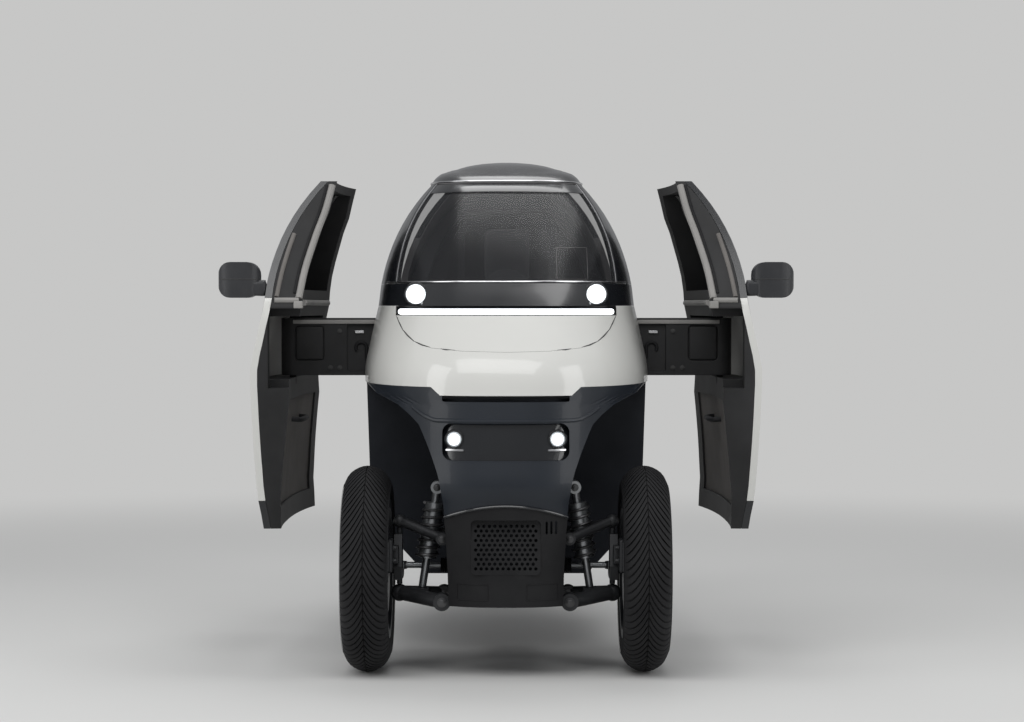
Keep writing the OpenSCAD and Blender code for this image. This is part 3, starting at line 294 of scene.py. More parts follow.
def settle(piece, name, body, slot, material=None, angle=35, stands_for=()):
    """Names a shaped piece, gives it its finish and sets it on its body."""
    alone(piece)
    bpy.ops.object.transform_apply(location=True, rotation=True, scale=True)
    bpy.ops.object.shade_smooth_by_angle(angle=radians(angle))
    piece.name = name
    piece.data.name = name
    piece.data.materials.clear()
    piece.data.materials.append(material or FINISH[slot])
    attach(piece, body)
    if stands_for:
        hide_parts(*stands_for)
    return piece


def from_points(points, edges=(), faces=()):
    mesh = bpy.data.meshes.new("sketch")
    mesh.from_pydata([tuple(p) for p in points], list(edges), list(faces))
    piece = bpy.data.objects.new("sketch", mesh)
    bpy.context.scene.collection.objects.link(piece)
    alone(piece)
    return piece


def faced_out(piece):
    """Turns all the faces of a piece outwards."""
    alone(piece)
    bpy.ops.object.mode_set(mode="EDIT")
    bpy.ops.mesh.select_all(action="SELECT")
    bpy.ops.mesh.normals_make_consistent(inside=False)
    bpy.ops.object.mode_set(mode="OBJECT")


def turned(profile, place, direction, steps=48):
    """Spins a profile of (along, radius) points about an axis through a place."""
    piece = from_points([(r, 0, a) for a, r in profile], [(i, i + 1) for i in range(len(profile) - 1)])
    bpy.ops.object.mode_set(mode="EDIT")
    bpy.ops.mesh.select_all(action="SELECT")
    bpy.ops.mesh.spin(steps=steps, angle=2 * pi, center=(0, 0, 0), axis=(0, 0, 1))
    bpy.ops.mesh.select_all(action="SELECT")
    bpy.ops.mesh.remove_doubles(threshold=0.00002)
    bpy.ops.mesh.normals_make_consistent(inside=False)
    bpy.ops.object.mode_set(mode="OBJECT")
    piece.rotation_euler = Vector(direction).to_track_quat("Z", "Y").to_euler()
    piece.location = place
    return piece


def bead(points, radius, closed=False, corners=3):
    """Round strip along a row of points, made a mesh."""
    bpy.ops.object.select_all(action="DESELECT")
    bpy.ops.curve.primitive_bezier_curve_add()
    piece = bpy.context.object
    curve = piece.data
    curve.splines.clear()
    spline = curve.splines.new("POLY")
    spline.points.add(len(points) - 1)
    for point, place in zip(spline.points, points):
        point.co = (*place, 1)
    spline.use_cyclic_u = closed
    curve.bevel_depth = radius
    curve.bevel_resolution = corners
    curve.use_fill_caps = True
    piece.location = (0, 0, 0)
    alone(piece)
    bpy.ops.object.convert(target="MESH")
    return bpy.context.object


def block(low, high, edge, segments=3):
    """Box between two corners, with rounded edges."""
    low, high = Vector(low), Vector(high)
    bpy.ops.object.select_all(action="DESELECT")
    bpy.ops.mesh.primitive_cube_add(size=1, location=(low + high) / 2)
    piece = bpy.context.object
    piece.scale = high - low
    bpy.ops.object.transform_apply(location=True, rotation=True, scale=True)
    apply(piece, "BEVEL", width=edge, segments=segments, limit_method="ANGLE")
    return piece


def spread(a, b, count):
    return [a + (b - a) * i / count for i in range(count + 1)]


def eased(points, rounds=6):
    """Row of points with its small steps evened out, and its ends kept."""
    row = [Vector(p) for p in points]
    for _ in range(rounds):
        row = [row[0]] + [(a + 2 * b + c) / 4 for a, b, c in zip(row, row[1:], row[2:])] + [row[-1]]
    return row


def spaced(corners, step):
    """Points along a closed outline, no further apart than a step."""
    points = []
    for a, b in zip(corners, corners[1:] + corners[:1]):
        a, b = Vector(a), Vector(b)
        count = max(1, int((b - a).length / step))
        points += [a.lerp(b, i / count) for i in range(count)]
    return points


SURFACE = {}


def surface(node):
    if node not in SURFACE:
        mesh = NODES[node].data
        places = [v.co for v in mesh.vertices]
        SURFACE[node] = BVHTree.FromPolygons(places, [p.vertices for p in mesh.polygons])
    return SURFACE[node]


def on_front(nodes, x, z, lift=0.0):
    """Place on the first of these nodes met from straight ahead, lifted off the surface."""
    for slip in (0, 0.003, -0.003, 0.006, -0.006):
        hits = [surface(n).ray_cast(Vector((x, -3, z + slip)), Vector((0, 1, 0))) for n in nodes]
        hits = [h for h in hits if h[0] is not None]
        if hits:
            best = min(hits, key=lambda h: h[0].y)
            return best[0] + best[1] * lift - Vector((0, 0, slip))
    raise ValueError(f"nothing of {nodes} at {x}, {z}")


def copied(node, name):
    """Copy of a CAD node with its doubled points merged."""
    piece = bpy.data.objects.new(name, NODES[node].data.copy())
    bpy.context.scene.collection.objects.link(piece)
    alone(piece)
    bpy.ops.mesh.customdata_custom_splitnormals_clear()
    bpy.ops.object.mode_set(mode="EDIT")
    bpy.ops.mesh.select_all(action="SELECT")
    bpy.ops.mesh.remove_doubles(threshold=0.00002)
    bpy.ops.object.mode_set(mode="OBJECT")
    return piece


def joined(pieces):
    """Makes one piece of several."""
    bpy.ops.object.select_all(action="DESELECT")
    for piece in pieces:
        piece.select_set(True)
    bpy.context.view_layer.objects.active = pieces[0]
    bpy.ops.object.transform_apply(location=True, rotation=True, scale=True)
    bpy.ops.object.join()
    return bpy.context.object


def part_of(node, point, normal):
    """Copy of a CAD node, cut by a plane: what lies behind the plane stays."""
    piece = copied(node, node + "_part")
    bpy.ops.object.mode_set(mode="EDIT")
    bpy.ops.mesh.select_all(action="SELECT")
    bpy.ops.mesh.bisect(plane_co=point, plane_no=normal, use_fill=True, clear_outer=True)
    bpy.ops.object.mode_set(mode="OBJECT")
    return piece


def skin(node, edge=0.0, angle=32, flat=False, mirrored=False):
    """Smooth copy of a CAD node that stands for it, with rounded edges where asked."""
    piece = copied(node, node + "_skin")
    bpy.ops.object.mode_set(mode="EDIT")
    bpy.ops.mesh.select_all(action="SELECT")
    if flat:
        bpy.ops.mesh.dissolve_limited(angle_limit=radians(0.5))
    if mirrored:
        bpy.ops.mesh.select_all(action="SELECT")
        bpy.ops.mesh.bisect(plane_co=(0, 0, 0), plane_no=(1, 0, 0), clear_outer=True)
    bpy.ops.object.mode_set(mode="OBJECT")
    if mirrored:
        apply(piece, "MIRROR", merge_threshold=0.0001)
    if edge:
        apply(piece, "BEVEL", width=edge, segments=2, limit_method="ANGLE", angle_limit=radians(40))
    settle(piece, node + "_skin", BODY_OF[node], SLOT_OF[node], None, angle, [node])
    apply(piece, "WEIGHTED_NORMAL", weight=80, keep_sharp=True)


# Body panels, smoothed from the CAD model


def roof_skin():
    """Even dome over the CAD roof's outline. High up, each height is the mean of those round about."""
    low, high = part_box("roof")
    middle = Vector((0, (low.y + high.y) / 2, 0))
    foot = low.z + 0.0005
    near = [(r * cos(t), r * sin(t)) for r in (0.02, 0.04, 0.06, 0.08) for t in spread(0, 2 * pi, 12)[:-1]]

    def height(x, y):
        hit = surface("roof").ray_cast(Vector((x, y, 3)), Vector((0, 0, -1)))[0]
        return None if hit is None else hit.z

    def dome(x, y):
        here = height(x, y) or foot
        share = min(max((here - 1.41) / 0.035, 0), 1)
        around = [h for h in (height(x + dx, y + dy) for dx, dy in near) if h is not None]
        return here + share * (sum(around) / len(around) - here)

    outline = []
    for turn in spread(0, 2 * pi, 96)[:-1]:
        way = Vector((sin(turn), cos(turn), 0))
        outline.append(surface("roof").ray_cast(middle + Vector((0, 0, foot)) + way, -way)[0])
    count, rings = len(outline), 26
    points = list(outline)
    for k in range(1, rings):
        for edge in outline:
            place = middle.lerp(edge, 1 - (k / rings) ** 1.4)
            points.append((place.x, place.y, dome(place.x, place.y)))
    points.append((middle.x, middle.y, dome(middle.x, middle.y)))
    faces = []
    for i in range(count):
        j = (i + 1) % count
        for k in range(rings - 1):
            faces.append((k * count + i, k * count + j, (k + 1) * count + j, (k + 1) * count + i))
        faces.append(((rings - 1) * count + i, (rings - 1) * count + j, rings * count))
    piece = from_points(points, (), faces)
    faced_out(piece)
    if piece.data.polygons[-1].normal.z < 0:
        piece.data.flip_normals()
    apply(piece, "SOLIDIFY", thickness=0.015, offset=-1)
    for v in piece.data.vertices:
        v.co.z = max(v.co.z, foot)
    settle(piece, "roof_skin", BODY_OF["roof"], SLOT_OF["roof"], None, 32, ["roof"])


def body_skins():
    for node in ("cowl", "nose_panel", "grille_panel", "lamp_band", "light_bar", "windscreen", "pillars",
                 "rear_body", "rear_canopy", "rear_glass", "tail_lamps", "lamp_tray"):
        skin(node)
    roof_skin()
    skin("fascia", mirrored=True)
    for side, _ in SIDES:
        skin(side + "_door_frame", 0.007, 32, flat=True)
        for part in ("door_skin", "door_trim", "door_glass", "door_card"):
            skin(side + "_" + part)


def hard_parts():
    """Structure and running gear, with rounded edges."""
    edges = {
        "tub": 0.004, "rear_hoop": 0.006, "nose_core": 0.003, "hinge_posts": 0.003, "dashboard": 0.012,
        "steering_column": 0.003, "battery": 0.008, "rear_frame": 0.003, "suspension_arms": 0.002,
        "front_shocks": 0.002, "swing_arm": 0.005, "rear_shocks": 0.002, "rear_mudguard": 0.0015,
        "steering_rack": 0.0015, "left_knuckle": 0.003, "right_knuckle": 0.003, "left_arm": 0.006,
        "right_arm": 0.006, "left_mirror": 0.012, "right_mirror": 0.012, "left_wheel": 0.002,
        "right_wheel": 0.002, "rear_wheel": 0.002, "steering_wheel": 0.003, "grille_mesh": 0.0,
    }
    for node, edge in edges.items():
        skin(node, edge, 38, flat=True)


body_skins()
hard_parts()

# Tyres: a carcass with a herringbone tread that reaches the CAD model's radius

# Wheel centres, which lie as high as the tyres' radii
FRONT_X, FRONT_Y, FRONT_R = 0.389, -0.85, 0.29
REAR_Y, REAR_R = 0.85, 0.235
# Share of the half width, and share of the height from bead to crown
TYRE = ((0.8, 0), (0.88, 0.1), (0.98, 0.3), (1, 0.42), (0.97, 0.54), (0.88, 0.68), (0.72, 0.81), (0.5, 0.915),
        (0.25, 0.98), (0, 1))
TREAD_DEPTH = 0.006


def crown(share, wall):
    """Height above the bead of the tyre's outside at a share of its half width."""
    for (s0, h0), (s1, h1) in zip(TYRE[4:], TYRE[5:]):
        if s1 <= share <= s0:
            return wall * (h0 + (h1 - h0) * (s0 - share) / (s0 - s1))
    return wall * TYRE[4][1]


def tread_blocks(centre, outer, width, rim):
    """Curved blocks that lean back from the middle of the tread to both sides."""
    count = round(2 * pi * outer / 0.024)
    shares = (0.02, 0.2, 0.38, 0.56, 0.72, 0.85, 0.95)
    points, faces = [], []
    for k in range(count):
        for sign in (1, -1):
            first = len(points)
            for share in shares:
                x = share * width / 2
                top = rim + crown(share, outer - rim)
                lag = 2 * pi * k / count - (2.3 * x - 14 * x * x) / outer
                for turn, lift in ((-1, -1), (-1, 0), (1, 0), (1, -1)):
                    r = top + lift * (TREAD_DEPTH + 0.003)
                    angle = lag + turn * (0.0084 if lift == 0 else 0.0092) / outer
                    y, z = centre[1] - r * cos(angle), centre[2] + r * sin(angle)
                    points.append((centre[0] + sign * x, y, z))
            for i in range(len(shares) - 1):
                a = first + 4 * i
                for j in range(3):
                    faces.append((a + j, a + j + 1, a + j + 5, a + j + 4))
            faces.append((first, first + 1, first + 2, first + 3))
            end = first + 4 * (len(shares) - 1)
            faces.append((end + 3, end + 2, end + 1, end))
    blocks = from_points(points, (), faces)
    faced_out(blocks)
    return blocks


def tyre(name, node, body, centre, outer, width, rim):
    wall = outer - rim
    half = []
    for share, height in TYRE:
        drop = TREAD_DEPTH if height > 0.6 else 0
        half.append((share * width / 2, rim + height * wall - drop))
    profile = half + [(-a, r) for a, r in reversed(half[:-1])]
    profile.append(profile[0])
    carcass = turned(profile, centre, (1, 0, 0), 96)
    pieces = [carcass, tread_blocks(centre, outer, width, rim)]
    for sign in (1, -1):
        for share, height in ((0.93, 0.27), (0.99, 0.46)):
            x, r = sign * share * width / 2, rim + height * wall
            ring = [(x - 0.001, r), (x + 0.0015 * sign, r + 0.002), (x - 0.001, r + 0.004)]
            pieces.append(turned(ring, centre, (1, 0, 0), 96))
    settle(joined(pieces), name, body, "tyre_rubber", None, 30, [node])


for side, sign in SIDES:
    centre = (sign * FRONT_X, FRONT_Y, FRONT_R)
    tyre(side + "_tread", side + "_tyre", side + "_front_wheel", centre, FRONT_R, 0.132, 0.188)
tyre("rear_tread", "rear_tyre", "rear_wheel", (0, REAR_Y, REAR_R), REAR_R, 0.130, 0.135)

# Lamps


def round_lamps(name, node, x, z, radius):
    """A pair of round lamps: a glowing disc in a bright bowl, behind a domed lens with a dark bezel."""
    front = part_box(node)[0].y
    lenses, bowls, discs, bezels = [], [], [], []
    for _, sign in SIDES:
        place = (sign * x, front, z)
        dome = [(0.0, 0.0), (0.0008, radius * 0.4), (0.0036, radius * 0.75), (0.0085, radius), (0.03, radius),
                (0.03, radius - 0.002), (0.0095, radius - 0.002), (0.0046, radius * 0.72), (0.002, 0.0)]
        lenses.append(turned(dome, place, (0, 1, 0)))
        bowl = [(0.013, radius - 0.0022), (0.02, radius * 0.86), (0.03, radius * 0.62), (0.032, 0.0),
                (0.034, 0.0), (0.034, radius * 0.7), (0.032, radius - 0.0022), (0.013, radius - 0.0022)]
        bowls.append(turned(bowl, place, (0, 1, 0)))
        disc = [(0.0125, 0.0), (0.013, radius * 0.6), (0.016, radius * 0.84), (0.019, radius * 0.84),
                (0.019, 0.0)]
        discs.append(turned(disc, place, (0, 1, 0)))
        bezel = [(0.012, radius + 0.0004), (0.0085, radius + 0.0008), (0.008, radius + 0.0035),
                 (0.012, radius + 0.005), (0.022, radius + 0.0045), (0.022, radius + 0.0004)]
        bezels.append(turned(bezel + bezel[:1], place, (0, 1, 0)))
    settle(joined(lenses), name + "_lenses", "chassis", "lamp_lens", None, 40, [node])
    settle(joined(bowls), name + "_bowls", "chassis", "steel", reflector)
    settle(joined(discs), name + "_discs", "chassis", "light_strip", lamp_glow)
    settle(joined(bezels), name + "_bezels", "chassis", "gloss_black")


round_lamps("upper_lamp", "upper_lamps", 0.259, 1.064, 0.030)
round_lamps("lower_lamp", "lower_lamps", 0.142, 0.664, 0.022)
settle(part_of("lower_lamps", (0, 0, 0.6405), (0, 0, 1)), "lower_lamp_bars", "chassis", "steel", bright_trim)

# Lines and trim on the front


def side_edge(node, sign):
    """Outer edge of a curved panel on one side of the car, from its foot to its top."""
    rows = {}
    for v in NODES[node].data.vertices:
        height = round(v.co.z, 3)
        if height not in rows or v.co.x * sign > rows[height].x * sign:
            rows[height] = v.co.copy()
    return [rows[height] for height in sorted(rows)]


def front_lines():
    shell = ("cowl", "nose_panel")
    seam = [(0.0, 0.902), (0.06, 0.9033), (0.12, 0.905), (0.165, 0.9085), (0.208, 0.913), (0.235, 0.921),
            (0.258, 0.930), (0.278, 0.946), (0.294, 0.963), (0.305, 0.981), (0.314, 0.999)]
    row = [(-x, z) for x, z in reversed(seam[1:])] + seam
    line = [on_front(shell, x, z, 0.0) for x, z in row]
    settle(bead(line, 0.0019), "hood_seam", "chassis", "black_plastic", seam_rubber)
    base = [on_front(("lamp_band", "windscreen"), x, 1.0985, 0.0005) for x in spread(-0.352, 0.352, 40)]
    settle(bead(base, 0.0032), "screen_base_strip", "chassis", "steel", bright_trim)
    # Painted highlight: a bright metal strip along the roof's front edge stands in for the line of light that
    # the edge of the gloss black roof catches.
    edge = []
    for turn in spread(-75, 75, 50):
        way = Vector((sin(radians(turn)), -cos(radians(turn)), 0))
        hit = surface("roof").ray_cast(Vector((0, 0, 1.4065)) + way, -way)
        if hit[0] is not None and hit[0].y < -0.11:
            edge.append(hit[0] + hit[1] * 0.0008)
    settle(bead(eased(edge), 0.0032), "roof_front_highlight_strip", "chassis", "steel", bright_trim)
    brow = []
    for x in spread(-0.26, 0.26, 52):
        z = 0.7146 + 0.034 * max(0, (abs(x) - 0.19) / 0.07) ** 1.6
        hit = surface("fascia").ray_cast(Vector((x, -3, z)), Vector((0, 1, 0)))
        if hit[0] is not None:
            brow.append(hit[0] - hit[1] * 0.0045)
    settle(bead(brow, 0.008), "brow_line", "chassis", "navy_paint")
    rim = []
    for x in spread(-0.169, 0.169, 40):
        z = 0.4825 - 0.035 * (x / 0.172) ** 2
        rim.append(on_front(("grille_panel",), x, z - 0.004) + Vector((0, -0.001, 0.004)))
    settle(bead(rim, 0.0045), "grille_rim", "chassis", "gloss_black")
    marks = []
    for x0, x1 in ((-0.134, -0.049), (0.058, 0.143)):
        loop = spaced([(x0, 0.222), (x1, 0.222), (x1, 0.266), (x0, 0.266)], 0.012)
        marks.append(bead([on_front(("grille_panel",), x, z, 0.0002) for x, z in loop], 0.0014, closed=True))
    settle(joined(marks), "grille_marks", "chassis", "black_plastic")


front_lines()

# Seats: soft pads on hard shells


def channel(piece, axis, at, depth, reach):
    """Presses a sewn channel into the faces that look along +Z or -Y."""
    for v in piece.data.vertices:
        near = abs(v.co[axis] - at) / reach
        if near < 1 and (v.normal.z > 0.5 or v.normal.y < -0.5):
            v.co -= v.normal * depth * (1 - near * near) ** 2


def pad(low, high, edge, swell, channels=()):
    """Stuffed pad that fills a box: a smaller block, blown up as cloth, then sewn."""
    low, high = Vector(low), Vector(high)
    inset = Vector((swell, swell, swell)) * 0.6
    piece = block(low + inset, high - inset, edge, 4)
    apply(piece, "REMESH", mode="VOXEL", voxel_size=0.007)
    start = [v.co.copy() for v in piece.data.vertices]
    alone(piece)
    bpy.ops.object.modifier_add(type="CLOTH")
    cloth = piece.modifiers[-1]
    cloth.settings.use_pressure = True
    cloth.settings.uniform_pressure_force = 4
    cloth.settings.effector_weights.gravity = 0
    for step in range(1, 21):
        bpy.context.scene.frame_set(step)
    bpy.ops.object.modifier_apply(modifier=cloth.name)
    bpy.context.scene.frame_set(1)
    for v, first in zip(piece.data.vertices, start):
        move = v.co - first
        if move.length > swell:
            v.co = first + move * (swell / move.length)
    for v in piece.data.vertices:
        v.co = [min(max(c, a), b) for c, a, b in zip(v.co, low, high)]
    for axis, at, depth, reach in channels:
        channel(piece, axis, at, depth, reach)
    apply(piece, "SMOOTH", factor=0.5, iterations=2)
    apply(piece, "SUBSURF", levels=1, render_levels=1)
    return piece


def seats():
    shell = part_of("driver_seat", (0, 0, 0.412), (0, 0, 1))
    back = part_of("driver_seat", (0, 0.388, 0), (0, -1, 0))
    dark = FINISH["black_plastic"]
    settle(joined([shell, back]), "driver_seat_shell", "chassis", "cabin_plastic", dark, 35, ["driver_seat"])
    ribs = [(0, x, 0.006, 0.009) for x in (-0.1, 0.1)]
    base = pad((-0.2, -0.07, 0.405), (0.2, 0.332, 0.458), 0.02, 0.014, ribs)
    settle(base, "driver_cushion", "chassis", "seat_cloth")
    rows = ribs + [(2, z, 0.005, 0.009) for z in (0.62, 0.76, 0.9)]
    rest = pad((-0.178, 0.336, 0.47), (0.178, 0.39, 1.085), 0.024, 0.016, rows)
    settle(rest, "driver_back_pad", "chassis", "seat_cloth")
    head = pad((-0.084, 0.336, 1.1), (0.084, 0.39, 1.292), 0.024, 0.016)
    settle(head, "driver_head_pad", "chassis", "seat_cloth")
    under = block((-0.178, 0.512, 0.5405), (0.178, 0.788, 0.566), 0.008)
    settle(under, "passenger_seat_base", "chassis", "cabin_plastic", None, 35, ["passenger_seat"])
    cushion = pad((-0.184, 0.507, 0.562), (0.184, 0.79, 0.628), 0.02, 0.014, ribs)
    settle(cushion, "passenger_cushion", "chassis", "seat_cloth")
    behind = pad((-0.184, 0.0, 0.0), (0.184, 0.07, 0.484), 0.024, 0.014, ribs + [(2, 0.24, 0.005, 0.009)])
    for v in behind.data.vertices:
        v.co = (v.co.x, v.co.y + 0.803 + v.co.z * 0.113, v.co.z + 0.543)
    settle(behind, "passenger_back_pad", "chassis", "seat_cloth")


seats()

# Wheels and running gear


def bolt(place, direction, radius, height):
    """Hexagon head on a washer."""
    washer = turned([(0, 0), (0, radius * 1.35), (height * 0.2, radius * 1.35), (height * 0.25, radius * 1.2),
                     (height * 0.25, 0)], place, direction, 20)
    head = turned([(height * 0.2, 0), (height * 0.2, radius), (height * 0.9, radius), (height, radius * 0.82),
                   (height, 0)], place, direction, 6)
    return [washer, head]


def wheel_details(side, sign):
    """Hub cap, wheel nuts, valve and brake caliper of a front wheel."""
    x, y, z = sign * FRONT_X, FRONT_Y, FRONT_R
    body = side + "_front_wheel"
    out = (sign, 0, 0)
    cap = [(0.0402, 0), (0.0402, 0.017), (0.047, 0.0155), (0.0495, 0.012), (0.05, 0)]
    settle(turned(cap, (x, y, z), out, 32), side + "_hub_cap", body, "rim_metal")
    nuts = []
    for k in range(5):
        turn = 2 * pi * k / 5
        place = (x + sign * 0.0402, y + 0.0285 * cos(turn), z + 0.0285 * sin(turn))
        nuts += bolt(place, out, 0.0065, 0.012)
    settle(joined(nuts), side + "_wheel_nuts", body, "steel")
    valve = turned([(0, 0), (0, 0.004), (0.022, 0.0038), (0.024, 0.005), (0.034, 0.0046), (0.036, 0)],
                   (x + sign * 0.05, y, z + 0.163), (sign * 0.5, 0, -1), 16)
    settle(valve, side + "_valve", body, "black_plastic")
    inner = block((0.3145, y - 0.128, z), (0.329, y - 0.062, z + 0.092), 0.006)
    outer = block((0.3395, y - 0.128, z + 0.006), (0.351, y - 0.07, z + 0.086), 0.005)
    bridge = block((0.322, y - 0.144, z + 0.004), (0.345, y - 0.131, z + 0.088), 0.005)
    link = block((0.300, y - 0.075, z + 0.02), (0.320, y - 0.03, z + 0.07), 0.004)
    bolts = []
    for rise in (0.03, 0.065):
        bolts += bolt((0.3145, y - 0.085, z + rise), (-1, 0, 0), 0.006, 0.01)
    caliper = joined([inner, outer, bridge, link, *bolts])
    if sign < 0:
        caliper.scale.x = -1
        alone(caliper)
        bpy.ops.object.transform_apply(scale=True)
        bpy.ops.object.mode_set(mode="EDIT")
        bpy.ops.mesh.select_all(action="SELECT")
        bpy.ops.mesh.flip_normals()
        bpy.ops.object.mode_set(mode="OBJECT")
    settle(caliper, side + "_caliper", side + "_knuckle", "cast_metal")


def coil(foot, top, radius, wire, turns):
    """Spring round the line between two places."""
    foot, top = Vector(foot), Vector(top)
    along = top - foot
    across = along.cross(Vector((0, 1, 0))).normalized()
    third = along.normalized().cross(across)
    count = turns * 18
    points = []
    for i in range(count + 1):
        turn = 2 * pi * i / 18
        points.append(foot + along * (i / count) + (across * cos(turn) + third * sin(turn)) * radius)
    return bead(points, wire, corners=2)


def springs():
    for side, sign in SIDES:
        front = coil((sign * 0.2235, FRONT_Y, 0.325), (sign * 0.2005, FRONT_Y, 0.472), 0.0295, 0.0042, 7)
        settle(front, side + "_front_spring", "chassis", "steel", dark_bolt)
        rear = coil((sign * 0.096, 0.752, 0.345), (sign * 0.096, 0.752, 0.474), 0.0255, 0.0038, 7)
        settle(rear, side + "_rear_spring", "chassis", "steel", dark_bolt)
        folds = [(0.0, 0.0095)]
        for i in range(5):
            folds += [(0.001 + 0.0056 * i, 0.0225), (0.0038 + 0.0056 * i, 0.0195)]
        folds += [(0.0295, 0.0225), (0.03, 0.0095), (0.0, 0.0095)]
        boot = turned(folds, (sign * 0.1566, -0.754, 0.29), (sign, 0, 0), 32)
        settle(boot, side + "_rack_boot", "chassis", "black_plastic")
        bolts = []
        for dy in (-0.086, 0.086):
            for end in (-1, 1):
                bolts += bolt((sign * 0.1774, FRONT_Y + dy + 0.022 * end, 0.382), (0, end, 0), 0.008, 0.008)
        for dy in (-0.1032, 0.1032):
            for end in (-1, 1):
                bolts += bolt((sign * 0.1775, FRONT_Y + dy + 0.026 * end, 0.208), (0, end, 0), 0.010, 0.010)
        for end in (-1, 1):
            bolts += bolt((sign * 0.1934, FRONT_Y + 0.025 * end, 0.52), (0, end, 0), 0.008, 0.008)
        settle(joined(bolts), side + "_arm_bolts", "chassis", "steel", dark_bolt)


for side, sign in SIDES:
    wheel_details(side, sign)
springs()

# Doors, arms and mirrors

# How far an open left door stands from its closed place
OPEN = Vector((0.313, -0.313, 0))
# Bars on a door: place along it when closed, and height above its face
HANDLE = ((0.22, -0.002), (0.225, 0.014), (0.24, 0.02), (0.3, 0.022), (0.36, 0.02), (0.375, 0.014),
          (0.38, -0.002))
PULL = ((-0.05, -0.002), (-0.045, 0.016), (-0.03, 0.026), (0.05, 0.028), (0.13, 0.026), (0.145, 0.016),
        (0.15, -0.002))


def door_front(z):
    """Front edge of the closed door at a height."""
    return -0.4 + 0.22 * max(0, z - 1.03) / 0.374


def on_side(node, y, z, sign, inside, lift=0.0):
    """Place on an open door, met from inside or outside the car."""
    start = Vector((0 if inside else sign * 3, y, z))
    way = Vector((sign if inside else -sign, 0, 0))
    hit = surface(node).ray_cast(start, way)
    return None if hit[0] is None else hit[0] + hit[1] * lift


def found(places):
    return [p for p in places if p is not None]


def jamb_edge(node, z, sign):
    """Inner edge of the door's front face at a height, found by steps outwards."""
    for step in range(325):
        x = sign * (0.15 + 0.002 * step)
        hit = surface(node).ray_cast(Vector((x, -3, z)), Vector((0, 1, 0)))
        if hit[0] is not None and hit[0].y < door_front(z) + OPEN.y + 0.04:
            return x
    raise ValueError(f"no front face of {node} at {z}")


def door_trims(side, sign):
    node, body = side + "_door_frame", side + "_door"
    rise = [1.052 + 0.0145 * i for i in range(24)]
    inner = [on_front((node,), jamb_edge(node, z, sign) + sign * 0.011, z, -0.002) for z in rise]
    ledge = []
    start = jamb_edge(node, 1.045, sign)
    for i in range(9):
        ledge.append(on_front((node,), start + sign * (0.012 + 0.0085 * i), 1.046, 0.001))
    pieces = [bead(eased(inner), 0.0105), bead(ledge, 0.008)]
    settle(joined(pieces), side + "_window_trim", body, "card_grey", trim_grey)
    seal = [on_front((node,), jamb_edge(node, z, sign) + sign * 0.026, z, 0.0005) for z in rise[1:]]
    settle(bead(eased(seal), 0.0042), side + "_window_seal", body, "black_plastic")
    edge = [(jamb_edge(node, z, sign) + sign * 0.074, z) for z in spread(1.056, 1.24, 14)]
    strip = [on_front((node,), x, z) for x, z in edge]
    settle(bead(eased(strip), 0.0065), side + "_outer_strip", body, "card_grey")
    corner = on_front((node,), start + sign * 0.012, 1.035)
    latch = block(corner - Vector((0.013, 0.009, 0.012)), corner + Vector((0.013, 0.02, 0.009)), 0.003)
    settle(latch, side + "_latch", body, "card_grey", trim_grey)
    inside = [on_side(node, y + OPEN.y, 1.04, sign, True, 0.004) for y in spread(-0.32, 0.40, 24)]
    settle(bead(found(inside), 0.009), side + "_waist_ledge", body, "card_grey", trim_grey)
    skin_node, card_node = side + "_door_skin", side + "_door_card"
    handle = [on_side(skin_node, y + OPEN.y, 0.93, sign, False, lift) for y, lift in HANDLE]
    settle(bead(handle, 0.0065), side + "_door_handle", body, "gloss_black")
    pull = [on_side(card_node, y + OPEN.y, 0.69, sign, True, lift) for y, lift in PULL]
    settle(bead(pull, 0.008), side + "_door_pull", body, "cabin_plastic")


def arm_details(side, sign):
    """Panel and catch in the front pockets of a hinge arm, a bar along its top and pin caps."""
    body = side + "_arm"
    plates = (
        ("_arm_panel", (0.5495, 0.6315), (-0.3725, -0.3655), (0.8695, 0.9685), 0.003, "arm_grey", None),
        ("_arm_bar", (0.345, 0.64), (-0.3785, -0.3745), (0.9765, 0.9885), 0.0015, "arm_grey", trim_grey),
        ("_arm_dash", (0.427, 0.455), (-0.371, -0.3655), (0.948, 0.956), 0.0015, "steel", bright_trim),
    )
    for name, xs, ys, zs, edge, slot, material in plates:
        low, high = sorted(x * sign for x in xs)
        plate = block((low, ys[0], zs[0]), (high, ys[1], zs[1]), edge)
        settle(plate, side + name, body, slot, material)
    hook = []
    for turn in spread(pi, -0.6, 14):
        hook.append(Vector((sign * (0.436 + 0.016 * cos(turn)), -0.3665, 0.905 + 0.016 * sin(turn))))
    hook.insert(0, hook[0] - Vector((0, 0, 0.035)))
    settle(bead(hook, 0.0055), side + "_arm_catch", body, "black_plastic")
    bolts = []
    for x, z in ((0.5, 0.845), (0.5, 0.955), (0.528, 0.845)):
        bolts += bolt((x * sign, -0.375, z), (0, -1, 0), 0.0055, 0.005)
    settle(joined(bolts), side + "_arm_bolts_outer", body, "steel", seam_rubber)


